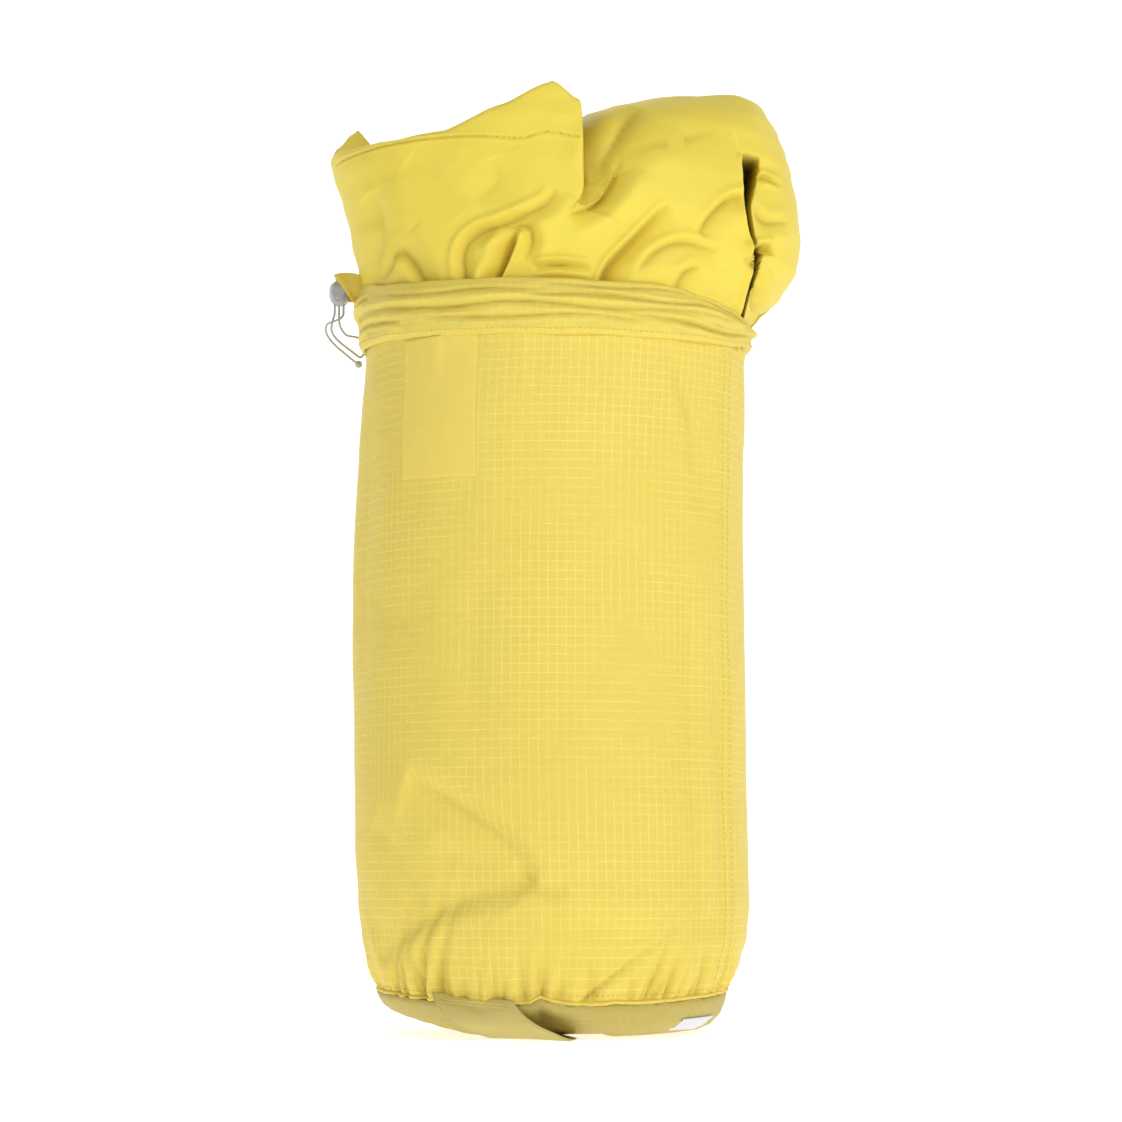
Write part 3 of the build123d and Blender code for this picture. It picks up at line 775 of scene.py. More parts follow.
ROLL_FOLDS = [  # route of (x, height), depth, width right, width left, shoulder, what is left at the ends
    ([(-114, 462), (-66, 461), (-38, 460), (-15, 458), (-2, 461), (15, 458)], 0.3, 0.8, 1.0, 0.9, (1, 1)),
    ([(10, 417.5), (20.5, 421.5), (28, 427.5), (34, 437), (38, 446)], 5.2, 6.0, 0.8, 0.3, (0.1, 0)),
    ([(27, 382), (31, 392), (44, 406), (61, 424)], 5.4, 8.5, 2.2, 0.3, (1, 0)),
    ([(46, 391), (56, 401), (70, 406), (88, 404)], 2.4, 7.0, 2.6, 0.4, (0.2, 0)),
    ([(66, 384), (70, 391), (77, 395)], 2.0, 6.0, 3.0, 0.4, (0.6, 0)),
    ([(99, 433), (92, 429), (84, 420), (78, 411)], 3.0, 3.0, 6.0, 0.4, (0.6, 0)),
    ([(-27, 385), (-23, 394), (-19, 403), (-16.5, 410)], 5.0, 2.0, 5.5, 0.5, (1, 0)),
    ([(-44, 387), (-45.5, 401), (-38, 409.5), (-20, 414.5), (-2, 423), (3, 431)],
     2.6, 5.0, 3.0, 0.5, (0.6, 0)),
    ([(-20, 413), (-11, 411), (-9, 404), (-13, 394)], 2.2, 2.6, 4.5, 0.6, (0, 0)),
    ([(-80, 409), (-73, 400), (-66, 388)], 2.2, 3.0, 7.0, 0.5, (0, 0.6)),
    ([(-90, 396), (-84, 402), (-80, 409)], 1.2, 4.0, 4.0, 0.5, (0, 0.3)),
    ([(-8, 390.5), (3, 392), (21, 390.5)], 2.0, 2.4, 2.0, 0.8, (0, 0)),
    ([(56, 480), (46, 470), (37, 458), (29, 446)], 4.6, 9.0, 13.0, 0.4, (0, 0.8)),
    ([(98, 468), (72, 460), (50, 452), (36, 442)], 2.6, 12.0, 22.0, 0.25, (0, 0.4)),
    ([(107.5, 406), (113, 409), (120, 410.5)], 5.0, 1.6, 3.0, 0.5, (1, 0)),
    ([(112, 446), (116, 448.5), (124, 447)], 1.8, 2.0, 2.0, 0.6, (0, 0)),
    ([(107, 403), (112, 396), (110, 384)], 3.2, 4.5, 3.0, 0.4, (0.6, 0.3)),
    ([(110, 428), (117, 424), (127, 427)], 1.4, 4.0, 4.0, 0.5, (0.3, 0)),
    ([(-96, 440), (-90, 420), (-94, 396)], 1.4, 12.0, 8.0, 0.3, (0, 0)),
    ([(-30, 448), (-27, 436), (-40, 425)], 1.2, 9.0, 9.0, 0.4, (0, 0)),
    ([(-74, 452), (-60, 440), (-48, 420)], 0.9, 12.0, 12.0, 0.4, (0, 0)),
]
ROLL_FOLDS_BACK = [
    ([(-80, 392), (-60, 420), (-52, 455)], 4.0, 8, 5, 0.4, (1, 0)),
    ([(-10, 388), (6, 420), (2, 470)], 5.0, 6, 10, 0.4, (1, 0.5)),
    ([(50, 386), (40, 410), (56, 440)], 4.0, 9, 5, 0.4, (1, 0)),
    ([(96, 395), (84, 430), (90, 470)], 3.0, 8, 8, 0.4, (0.5, 0)),
    ([(-40, 470), (-20, 455), (10, 448), (40, 458)], 2.5, 7, 7, 0.4, (0, 0)),
    ([(60, 480), (70, 455)], 2.5, 7, 7, 0.4, (0, 0)),
]


def roll_relief(x, height, front):
    """How far the outer turn stands out of its plain shape, from its folds and lumps, and the shade painted
    in its folds and beside the pleat.
    """
    folds = ROLL_FOLDS if front else ROLL_FOLDS_BACK
    relief, dark = np.zeros(x.shape), np.zeros(x.shape)
    for route, depth, right, left, shoulder, ends in folds:
        one, floor = crease(
            x, height, route, FOLD_DEPTH * depth, FOLD_WIDTH * right, FOLD_WIDTH * left,
            shoulder, ends, FOLD_EDGE)
        relief, dark = relief + one, np.maximum(dark, floor)
    if front:
        one, floor = crease(x, height, PLEAT, 12.0, 13.0, 0.5, 0.1, (0.0, 1.3), 0.2)
        # Painted shadow: the cloth just right of the pleat edge is marked dark, as if in the edge's shadow.
        pleat_painted_shadow = smooth_step(x, 16, 19.5) * (1 - smooth_step(x, 24, 44)) * smooth_step(height, 424, 446)
        relief, dark = relief + one, np.maximum(dark, floor * (x > np.interp(height, [423, 505], [15, 17.3])))
        dark = np.maximum(dark, 0.66 * pleat_painted_shadow)
    return relief, dark


# %% Mesh of the outer turn
def spread_columns():
    """Angles of the columns, closer together at the pleat and at the slit."""
    place, columns = -180.0, []
    while place < 180 - 0.3:
        columns.append(place)
        near_slit = 41 < place < 60
        near_pleat = 3 < place < 9
        fine = 0.25 if near_slit else 0.22 if near_pleat else 0.5 if abs(place) < 90 else 1.4
        place += fine
    return np.array(columns)


roll_angles = spread_columns()
roll_turn = np.radians(roll_angles)
top_height, turn_in, turn_down = read_table(roll_angles, ROLL_TOP)
top_height = top_height + 0.5 * smooth_noise((roll_angles + 180) / 9, 0 * roll_angles, 41)
END_ROWS, HIDDEN_ROWS, LEVEL_ROWS, RISE_ROWS, TOP_ROWS = 6, 8, 62, 42, 16
SHOWN_ROWS = slice(END_ROWS + HIDDEN_ROWS, END_ROWS + HIDDEN_ROWS + LEVEL_ROWS + RISE_ROWS)
LEVEL_LOW, LEVEL_TOP, INSIDE_FLOOR = 376, 434, 425
all_round = np.ones(roll_angles.shape)
roll_rows = []
for share in np.linspace(0.03, 1, END_ROWS):  # the lower end, closed like the end of a bundle
    roll_rows.append((all_round * (34 - 3 * share), all_round * share, 0 * roll_angles))
for height in np.linspace(38, LEVEL_LOW, HIDDEN_ROWS):  # inside the sack
    roll_rows.append((all_round * height, all_round, 0 * roll_angles))
turn_start = top_height - turn_down
for height in np.linspace(LEVEL_LOW, LEVEL_TOP, LEVEL_ROWS + 1)[1:]:  # the part that shows, level all round
    roll_rows.append((all_round * height, all_round, 0 * roll_angles))
for share in np.linspace(0, 1, RISE_ROWS + 1)[1:]:  # and on up to where the top turns in
    roll_rows.append((LEVEL_TOP + (turn_start - LEVEL_TOP) * share, all_round, 0 * roll_angles))
for phase in np.linspace(0, pi / 2, TOP_ROWS + 1)[1:]:  # the top edge
    roll_rows.append((turn_start + turn_down * sin(phase), all_round, turn_in * (1 - cos(phase))))
for share in np.linspace(0, 1, 10)[1:]:  # down the inside
    drop = top_height - (top_height - INSIDE_FLOOR) * share**1.5
    roll_rows.append((drop, all_round, turn_in + 1.2 + 14 * share))
for share in np.linspace(1, 0.03, 6)[1:]:  # the floor inside
    roll_rows.append((all_round * (INSIDE_FLOOR + 2 * (1 - share)), all_round * -share, turn_in + 15))
roll_points, roll_painted_shade = [], []
for number, (height, share, inset) in enumerate(roll_rows):
    reach_left, reach_right, half_y = read_table(height, ROLL_PLAN)
    size = np.abs(share)
    half_x = np.where(roll_angles > 0, reach_right, reach_left)
    x = ROLL_MIDDLE + (half_x - inset) * size * np.sin(roll_turn)
    y = -(half_y - inset) * size * np.cos(roll_turn)
    flat_x = ROLL_MIDDLE + half_x * np.sin(roll_turn)
    fade = 1.0 if number < SHOWN_ROWS.stop + TOP_ROWS + 1 else 0.0
    # Each side gives its relief and the shade painted in its folds.
    front_relief, front_painted_shade = roll_relief(flat_x, height, True)
    back_relief, back_painted_shade = roll_relief(flat_x, height, False)
    facing = smooth_step(np.abs(roll_angles), 84, 96)
    relief = front_relief * (1 - facing) + back_relief * facing
    roll_painted_shade.append((front_painted_shade * (1 - facing) + back_painted_shade * facing) * fade * (size > 0.98))
    around = (roll_angles + 180) / 360
    relief = relief + 1.6 * smooth_noise(around * 12, height / 45, 42, wrap=12)
    relief = relief + 0.6 * smooth_noise(around * 30, height / 18, 43, wrap=30)
    relief = relief + 0.2 * smooth_noise(around * 80, height / 7, 44, wrap=80)
    relief = relief * fade * (size > 0.98)
    outwards = np.stack([np.sin(roll_turn), -np.cos(roll_turn), 0 * roll_turn], axis=-1)
    point = np.stack([x, y, height], axis=-1) + outwards * relief[:, None]
    roll_points.append(point)
roll_points = np.array(roll_points)
FLAT_RADIUS = 112
roll_v = arc_lengths(roll_points, 0).mean(axis=1)
roll_u = np.append(np.radians(roll_angles + 180), 2 * pi) * FLAT_RADIUS
roll_flat = np.stack(np.meshgrid(roll_u, roll_v), axis=-1)


# %% The slit
def cut_slit(points):
    """Sinks a narrow gap between the two edges of the sheet, and lifts the left edge over it. Returns where
    the gap's shade is painted dark.
    """
    outer = points[SHOWN_ROWS]
    x, z = outer[..., 0], outer[..., 2]
    line = smooth_route(SLIT, 16)
    order = np.argsort(line[:, 1])
    middle = np.interp(z, line[order, 1], line[order, 0])
    gap = read_table(z, SLIT_HALF_WIDTH)[0]
    offset = x - middle
    front = (outer[..., 1] < 0) * smooth_step(z, 372, 380) * (1 - smooth_step(z, 455, 459))
    depth = 30 * np.exp(-((np.abs(offset) / gap) ** 4))
    left_lip = 2.6 * np.exp(-(((offset + gap + 1.6) / 2.0) ** 2))
    lip = left_lip + 1.0 * np.exp(-(((offset - gap - 1.6) / 2.2) ** 2))
    beyond = 3.5 * smooth_step(offset, 0, 4) * (1 - smooth_step(offset, 5, 20))
    outer[..., 0] += front * (0.6 * lip - 0.5 * beyond - 0.12 * depth)
    outer[..., 1] -= front * (0.8 * lip - 0.8 * beyond - depth)
    return front * np.exp(-((np.abs(offset) / (gap * 1.05)) ** 6))


slit_painted_shade = np.zeros(roll_points.shape[:2])
slit_painted_shade[SHOWN_ROWS] = cut_slit(roll_points)
roll_outer = cloth_mesh("rolled_sheet_outer_turn", roll_points, roll_flat, closed=True)
# Painted shade for the colour: the dark inside of the slit, and the floors of the folds.
set_painted_shade(roll_outer, slit_painted_shade, "slit")
set_painted_shade(roll_outer, np.array(roll_painted_shade))
pick(roll_outer)
bpy.ops.object.mode_set(mode="EDIT")
bpy.ops.mesh.select_all(action="DESELECT")
bpy.ops.mesh.select_non_manifold()
bpy.ops.mesh.edge_face_add()
bpy.ops.object.mode_set(mode="OBJECT")
print("outer turn", len(roll_outer.data.polygons), "faces")

# %% [markdown]
# The turns inside the roll show from above. They are one ribbon wound in a spiral, a little uneven,
# and thickened.

# %% Inner turns
TURNS, TURN_STEPS, TURN_ROWS = 5.0, 150, 16
TURN_LOW, TURN_HALF_X, TURN_HALF_Y = 424, 112, 90
wind = np.linspace(0, TURNS, int(TURNS * TURN_STEPS))
wind_size = 0.84 - 0.135 * wind + 0.012 * smooth_noise(wind * 5, 0 * wind, 51)
wind_turn = 2 * pi * wind + 0.6
wind_rise = np.linspace(0, 1, TURN_ROWS)[:, None]
wind_top = 479 - 1.2 * wind + 3.0 * smooth_noise(wind * 3, 0 * wind, 52)
wind_top = wind_top - 10 * smooth_step(np.cos(wind_turn), 0.2, 1)
wind_height = TURN_LOW + (wind_top[None, :] - TURN_LOW) * wind_rise
lean = 1 + 0.02 * smooth_noise(wind[None, :] * 6, wind_rise * 2, 53)
wind_x = 3 + TURN_HALF_X * wind_size[None, :] * lean * np.sin(wind_turn)[None, :]
wind_y = 4 - TURN_HALF_Y * wind_size[None, :] * lean * np.cos(wind_turn)[None, :]
wind_points = np.stack([wind_x, wind_y, wind_height], axis=-1)
wind_length = float(arc_lengths(wind_points, 1)[0, -1])
wind_flat = np.stack(np.meshgrid(
    np.linspace(0, wind_length, len(wind)),
    np.linspace(0, 60, TURN_ROWS),
), axis=-1)
roll_inner = cloth_mesh("rolled_sheet_inner_turns", wind_points[:, ::-1], wind_flat)
thicken(roll_inner, 1.6)
print("inner turns", round(wind_length), "mm long")
for piece in (roll_outer, roll_inner):
    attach(piece, "sheet")
    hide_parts("stuffed_sheet")

# %% [markdown]
# ## The base and what is sewn to it
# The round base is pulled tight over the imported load, flat where it stands and rounded up to the
# seam. A wide strap is caught in the seam at the front, runs slack and askew under the base, and is
# caught again at the back. A blank label lies on the base at the right.

# %% Base
BASE_RISE = [  # radius, height, height at the left where the load fills it less
    (0, 0.0, 0.0), (44, 0.0, 0.6), (56, 0.0, 3.6), (66, 0.0, 6.6), (76, 0.4, 9.8), (82, 2.8, 12.4),
    (87, 8.0, 15.4), (90, 14.0, 18.6), (91.2, 19.5, 21.0), (91.6, 22.6, 22.6),
]
BASE_TILT = [
    (-180, 0.5), (-120, 0.8), (-70, 1.0), (-30, 0.9), (0, 0.35), (25, 0.26), (40, 0.34), (60, 0.3),
    (100, 0.2), (180, 0.5),
]
STRAP_RUN = 8.3  # the strap's turn under the base, in degrees from straight back
STRAP_HALF = 21.5
BASE_EDGE = 91.6
BASE_COLUMNS = 420
base_radii = np.concatenate([np.linspace(1.2, 44, 12), np.linspace(47, BASE_EDGE, 48)])
base_angles = np.arange(BASE_COLUMNS) * 360 / BASE_COLUMNS - 180
angle_grid, radius_grid = np.meshgrid(base_angles, base_radii)
base_height = read_table(radius_grid, BASE_RISE)[0]


def base_point(angle, radius, lift=0.0):
    """Points on the base's outer face, with the hollow that the strap lies in."""
    full, slack = read_table(radius, BASE_RISE)
    turned = (angle + 180) % 360 - 180
    tilt = read_table(turned, BASE_TILT)[0]
    height = full * (1 - tilt) + slack * tilt
    height = height - read_table(turned, SEAM_DROP)[0] * smooth_step(radius, 80, BASE_EDGE)
    around = angle / 360
    turn = np.radians(angle)
    x, y = radius * np.sin(turn), -radius * np.cos(turn)
    across = x * cos(radians(STRAP_RUN)) + y * sin(radians(STRAP_RUN))
    hollow = 1.9 * (1 - smooth_step(np.abs(across), STRAP_HALF, STRAP_HALF + 5))
    hollow = hollow * (1 - smooth_step(radius, 76, 84))
    rim = smooth_step(radius, 60, 84) * (1 - 0.6 * smooth_step(radius, 86, BASE_EDGE))
    wrinkle = 1.1 * smooth_noise(around * 60, radius / 26, 61, wrap=60)
    wrinkle = wrinkle + 1.6 * smooth_noise(around * 14, radius / 40, 62, wrap=14)
    behind = np.exp(-(((turned + 2) / 13) ** 2)) * smooth_step(radius, 70, 82)
    behind = behind * (1 - smooth_step(radius, 87, BASE_EDGE))
    slope = smooth_step(radius, 66, 89)
    out = (rim * wrinkle * 0.5 - 4.5 * behind) * slope + lift * slope
    scale = 1 + np.where(radius > 40, out / np.maximum(radius, 40), 0)
    up = hollow + rim * wrinkle * 0.5 * (1 - slope) * (radius > 60) + 3.0 * behind - lift * (1 - slope)
    return np.stack([1.0 + x * scale, y * scale, height + up], axis=-1)


base_points = base_point(angle_grid, radius_grid)
base_points[..., 2] = np.maximum(base_points[..., 2], 0.02)
base_flat_radius = arc_lengths(np.stack([radius_grid[:, 0], base_height[:, 0]], axis=-1)[:, None, :], 0)[:, 0]
wide_angles = np.append(base_angles, 180)
base_flat = np.stack([
    base_flat_radius[:, None] * np.sin(np.radians(wide_angles))[None, :],
    -base_flat_radius[:, None] * np.cos(np.radians(wide_angles))[None, :],
], axis=-1)
round_base = cloth_mesh("round_base", base_points[:, ::-1], base_flat[:, ::-1], closed=True)
pick(round_base)
bpy.ops.object.mode_set(mode="EDIT")
bpy.ops.mesh.select_all(action="DESELECT")
bpy.ops.mesh.select_mode(type="VERT")
bpy.ops.object.mode_set(mode="OBJECT")
for vertex in round_base.data.vertices:
    vertex.select = vertex.co.xy.length < 0.0035
bpy.ops.object.mode_set(mode="EDIT")
bpy.ops.mesh.edge_face_add()
bpy.ops.object.mode_set(mode="OBJECT")
thicken(round_base, 1.0)
print("base", len(round_base.data.polygons), "faces")

# %% Strap
STRAP_LEFT = [
    (-59.5, -74.6, 23.6), (-57.0, -80.6, 18.6), (-52.5, -84.6, 12.6), (-46.0, -84.0, 8.0),
    (-38.5, -77.0, 4.6), (-30.0, -64.0, 1.6), (-24.0, -52.0, 0.55),
]
STRAP_RIGHT = [
    (-17.8, -92.8, 20.0), (-14.6, -96.6, 15.6), (-8.5, -98.6, 10.2), (0.4, -97.6, 5.6),
    (9.0, -91.0, 1.6), (12.4, -80.0, 0.55), (14.0, -66.0, 0.55),
]


def strap_edge(route, steps):
    """One edge of the strap, from the front seam under the base to the back seam."""
    half = smooth_route(route, 10)
    back = -half[::-1] * np.array((1, 1, -1))
    bridge = np.linspace(half[-1], back[0], 24)[1:-1]
    whole = np.concatenate([half, bridge, back])
    travel = arc_lengths(whole[None], 1)[0]
    places = np.linspace(0, travel[-1], steps)
    return np.stack([np.interp(places, travel, whole[:, k]) for k in range(3)], axis=-1)


STRAP_STEPS, STRAP_COLUMNS = 170, 26
near_edge = strap_edge(STRAP_LEFT, STRAP_STEPS)
far_edge = strap_edge(STRAP_RIGHT, STRAP_STEPS)
across_share = np.linspace(0, 1, STRAP_COLUMNS)[None, :, None]
strap_points = near_edge[:, None] * (1 - across_share) + far_edge[:, None] * across_share
print("strap", round(float(arc_lengths(strap_points[:, 13][None], 1)[0, -1])), "mm long")
strap_cross = np.linspace(-1, 1, STRAP_COLUMNS)
strap_run = strap_points[1:, :-1] - strap_points[:-1, :-1]
strap_out = np.cross(strap_run, strap_points[:-1, 1:] - strap_points[:-1, :-1])
strap_out = np.concatenate([strap_out, strap_out[-1:]], axis=0)
strap_out = np.concatenate([strap_out, strap_out[:, -1:]], axis=1)
strap_out /= np.linalg.norm(strap_out, axis=-1, keepdims=True)
if strap_out[len(strap_out) // 2, 12, 2] > 0:
    strap_out = -strap_out
under_share = smooth_step(strap_points[..., 2], 0.6, 6.0)
ripple = 0.5 * smooth_noise(np.arange(STRAP_STEPS)[:, None] / 7, strap_cross[None, :] * 2 + 4, 71)
sag = 2.2 * (1 - strap_cross[None, :] ** 2) * under_share
strap_points = strap_points + strap_out * ((sag + ripple * under_share)[..., None])
strap_points[..., 2] = np.maximum(strap_points[..., 2], 0.02)
strap_flat = np.stack(np.meshgrid(
    np.linspace(0, 42, STRAP_COLUMNS),
    np.linspace(0, 240, STRAP_STEPS),
), axis=-1)
grab_strap = cloth_mesh("grab_strap_band", strap_points, strap_flat)
thicken(grab_strap, 1.2)

for piece in (
    grab_strap, round_base, cord_ear, roll_inner, roll_outer, mouth_hem, cloth_tube, plain_patch, seam_strip,
):
    face_outwards(piece)

# %% Label
LABEL_LEFT, LABEL_RIGHT, LABEL_IN, LABEL_OUT, LABEL_LIFT = 48.0, 68.0, 78.5, 88.0, 1.7
label_angle, label_radius = np.meshgrid(
    np.linspace(LABEL_LEFT, LABEL_RIGHT, 60),
    np.linspace(LABEL_IN, LABEL_OUT, 26),
)
label_points = base_point(label_angle, label_radius, lift=LABEL_LIFT)
label_flat = np.stack([np.radians(label_angle) * 90, label_radius * 1.5], axis=-1)
side_label = cloth_mesh("side_label", label_points[:, ::-1], label_flat)
thicken(side_label, 0.35)
face_outwards(side_label)
sewn_left, sewn_right = LABEL_LEFT + 1, LABEL_RIGHT - 1
sewn_in, sewn_out = LABEL_IN + 0.8, LABEL_OUT - 0.8
label_edge = np.concatenate([
    base_point(np.linspace(*turns, steps), np.linspace(*reach, steps), lift=LABEL_LIFT + 0.05)
    for turns, reach, steps in (
        ((sewn_left, sewn_right), (sewn_out, sewn_out), 90),
        ((sewn_right, sewn_right), (sewn_out, sewn_in), 20),
        ((sewn_right, sewn_left), (sewn_in, sewn_in), 90),
        ((sewn_left, sewn_left), (sewn_in, sewn_out), 20),
    )
])
label_place = np.degrees(np.arctan2(label_edge[:, 0], -label_edge[:, 1]))
label_outward = ring_normals(label_place) + np.array((0, 0, -0.9))
label_stitches = stitch_row("label_stitches", [label_edge], [label_outward], pitch=2.2, length=1.5, width=0.4)

# %% [markdown]
# The base seam is turned inside, so outside it is a narrow raised welt between the puckers of the
# tube and the rounded base, with a row of stitches above it. The strap is held by bar tacks, short
# dense rows of stitches across it.

# %% Seam welt, its stitches and the bar tacks
WELT_COLUMNS, WELT_SIDES = 520, 10
welt_angles = np.arange(WELT_COLUMNS) * 360 / WELT_COLUMNS - 180
welt_core = tube_point(welt_angles, np.full(WELT_COLUMNS, TUBE_BOTTOM + 0.6), 0.9)
welt_core[:, 2] += 0.35 * smooth_noise((welt_angles + 180) / 4, 0 * welt_angles, 81)
welt_out = ring_normals(welt_angles)
welt_points = np.stack([
    welt_core + welt_out * (1.2 * cos(t)) + np.array((0, 0, 0.95 * sin(t)))
    for t in -np.arange(WELT_SIDES + 1) * 2 * pi / WELT_SIDES
])
welt_flat = np.stack(np.meshgrid(
    np.linspace(0, 594, WELT_COLUMNS + 1),
    np.linspace(0, 6, WELT_SIDES + 1),
), axis=-1)
seam_welt = cloth_mesh("base_seam_welt", welt_points, welt_flat, closed=True)
weld_seam(seam_welt)
face_outwards(seam_welt)
base_line = tube_point(row_angles, np.full(ROW_POINTS, TUBE_BOTTOM + 3.4), 0.1)
base_stitches = stitch_row(
    "base_seam_stitches", [base_line], [ring_normals(row_angles)], pitch=2.8, length=1.9, width=0.5,
)
tack_lines, tack_normals = [], []
for end in (1, -1):
    for level in (0.05, 0.11):
        share = np.linspace(0.06, 0.94, 60)[:, None]
        line = np.array(STRAP_LEFT[0]) * (1 - share) + np.array(STRAP_RIGHT[0]) * share
        line = line * np.array((end, end, 1))
        line = line + np.array((0, 0, -1.2 - level * 22))
        place = np.degrees(np.arctan2(line[:, 0], -line[:, 1]))
        out = ring_normals(place)
        line = line + out * (3.3 * (1 - (2 * share - 1) ** 2) + 1.2 + level * 12)
        tack_lines.append(line)
        tack_normals.append(out)
strap_tacks = stitch_row("strap_tack_stitches", tack_lines, tack_normals, pitch=1.7, length=1.5, width=0.55)

for piece, node, slot_name in (
    (round_base, "base_panel", "base_cloth"),
    (grab_strap, "grab_strap", "strap_cloth"),
    (side_label, "base_label", "label"),
    (label_stitches, "label_thread", "thread"),
    (seam_welt, "base_seam_tape", "ripstop"),
    (base_stitches, "base_seam_thread", "thread"),
    (strap_tacks, "strap_bartacks", "thread"),
):
    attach(piece, "sack")
    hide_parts(node)

# %% [markdown]
# ## Cloth materials
# Ripstop nylon is a fine plain weave with a thicker thread every 4.7 mm both ways, which stops a
# tear. Two node groups draw it from the cloth's own flat coordinates: the squares, and the fine
# weave with its small creases. The squares are broken up by noise, because a real thick thread
# shows only where the light catches it.


# %% Node helpers
def new_group(name, inputs, outputs):
    """An empty node group with named sockets."""
    group = bpy.data.node_groups.new(name, "ShaderNodeTree")
    for socket, kind, value in inputs:
        item = group.interface.new_socket(socket, in_out="INPUT", socket_type=kind)
        if value is not None:
            item.default_value = value
    for socket, kind in outputs:
        group.interface.new_socket(socket, in_out="OUTPUT", socket_type=kind)
    return group, group.nodes.new("NodeGroupInput"), group.nodes.new("NodeGroupOutput")


def maths(tree, operation, first, second=None, third=None):
    """A Math node with sockets or plain numbers as its inputs."""
    node = tree.nodes.new("ShaderNodeMath")
    node.operation = operation
    for socket, value in zip(node.inputs, (first, second, third)):
        if value is None:
            continue
        if isinstance(value, (int, float)):
            socket.default_value = value
        else:
            tree.links.new(value, socket)
    return node.outputs[0]


def noise(tree, vector, scale, detail=3.0, roughness=0.5):
    """A Noise Texture's value."""
    node = tree.nodes.new("ShaderNodeTexNoise")
    node.inputs["Scale"].default_value = scale
    node.inputs["Detail"].default_value = detail
    node.inputs["Roughness"].default_value = roughness
    tree.links.new(vector, node.inputs["Vector"])
    return node.outputs["Fac"]


def blend_colour(tree, share, first, second, kind="MIX"):
    """A Mix node for colours."""
    node = tree.nodes.new("ShaderNodeMix")
    node.data_type = "RGBA"
    node.blend_type = kind
    for socket, value in ((node.inputs["Factor"], share), (node.inputs[6], first), (node.inputs[7], second)):
        if isinstance(value, (int, float)):
            socket.default_value = value
        elif isinstance(value, tuple):
            socket.default_value = value
        else:
            tree.links.new(value, socket)
    return node.outputs[2]


# %% Ripstop squares
RIPSTOP_PITCH, RIPSTOP_LINE = 0.0047, 0.00042
squares, squares_in, squares_out = new_group(
    "ripstop_squares",
    [("Flat Place", "NodeSocketVector", None), ("Spacing", "NodeSocketFloat", RIPSTOP_PITCH),
     ("Line Width", "NodeSocketFloat", RIPSTOP_LINE), ("Presence", "NodeSocketFloat", 0.8)],
    [("Line", "NodeSocketFloat")],
)
flat_place = squares_in.outputs["Flat Place"]
parts = squares.nodes.new("ShaderNodeSeparateXYZ")
squares.links.new(flat_place, parts.inputs[0])
wander = maths(squares, "SUBTRACT", noise(squares, flat_place, 90, 2), 0.5)
masks = []
for axis in (0, 1):
    moved = maths(squares, "MULTIPLY_ADD", wander, 0.0009, parts.outputs[axis])
    wave = maths(squares, "PINGPONG", moved, maths(squares, "MULTIPLY", squares_in.outputs["Spacing"], 0.5))
    edge = maths(squares, "DIVIDE", wave, squares_in.outputs["Line Width"])
    line_mask = maths(squares, "SUBTRACT", 1.0, maths(squares, "SMOOTH_MIN", edge, 1.0, 0.2))
    patchy = noise(squares, flat_place, 190 + 40 * axis, 2)
    broad = noise(squares, flat_place, 16 + 5 * axis, 2)
    shown = maths(squares, "MULTIPLY", maths(squares, "MULTIPLY_ADD", patchy, 2.6, -0.45),
                  maths(squares, "MULTIPLY_ADD", broad, 3.4, -0.95))
    shown.node.use_clamp = True
    masks.append(maths(squares, "MULTIPLY", line_mask, shown))
both = maths(squares, "MAXIMUM", masks[0], masks[1])
line = maths(squares, "MULTIPLY", both, squares_in.outputs["Presence"])
squares.links.new(line, squares_out.inputs["Line"])

# %% Weave and small creases
weave, weave_in, weave_out = new_group(
    "cloth_weave",
    [("Flat Place", "NodeSocketVector", None), ("Thread", "NodeSocketFloat", 0.00045),
     ("Crinkle", "NodeSocketFloat", 1.0)],
    [("Height", "NodeSocketFloat"), ("Tone", "NodeSocketFloat")],
)
flat_place = weave_in.outputs["Flat Place"]
parts = weave.nodes.new("ShaderNodeSeparateXYZ")
weave.links.new(flat_place, parts.inputs[0])
turns = maths(weave, "DIVIDE", 2 * pi, weave_in.outputs["Thread"])
waves = [maths(weave, "SINE", maths(weave, "MULTIPLY", parts.outputs[axis], turns)) for axis in (0, 1)]
thread_height = maths(weave, "MULTIPLY", waves[0], waves[1])
slub = weave.nodes.new("ShaderNodeMapping")
slub.inputs["Scale"].default_value = (35, 900, 1)
weave.links.new(flat_place, slub.inputs["Vector"])
slub_value = maths(weave, "SUBTRACT", noise(weave, slub.outputs[0], 1.0, 3), 0.5)
crumple = maths(weave, "SUBTRACT", noise(weave, flat_place, 120, 5, 0.6), 0.5)
fold_node = weave.nodes.new("ShaderNodeTexVoronoi")
fold_node.feature = "DISTANCE_TO_EDGE"
fold_node.inputs["Scale"].default_value = 55
weave.links.new(flat_place, fold_node.inputs["Vector"])
near_edge = maths(weave, "SMOOTH_MIN", fold_node.outputs["Distance"], 0.12, 0.1)
fold_edge = maths(weave, "MULTIPLY", near_edge, 2.0)
crease_height = maths(weave, "MULTIPLY", maths(weave, "MULTIPLY_ADD", crumple, 2.2, fold_edge),
                      weave_in.outputs["Crinkle"])
height = maths(weave, "MULTIPLY_ADD", thread_height, 0.06, crease_height)
height = maths(weave, "MULTIPLY_ADD", slub_value, 0.12, height)
weave.links.new(height, weave_out.inputs["Height"])
tone = maths(weave, "MULTIPLY_ADD", slub_value, 0.5, maths(weave, "MULTIPLY_ADD", thread_height, 0.12, 0.5))
tone = maths(weave, "MULTIPLY_ADD", noise(weave, flat_place, 9, 3), 0.5, maths(weave, "SUBTRACT", tone, 0.25))
weave.links.new(tone, weave_out.inputs["Tone"])


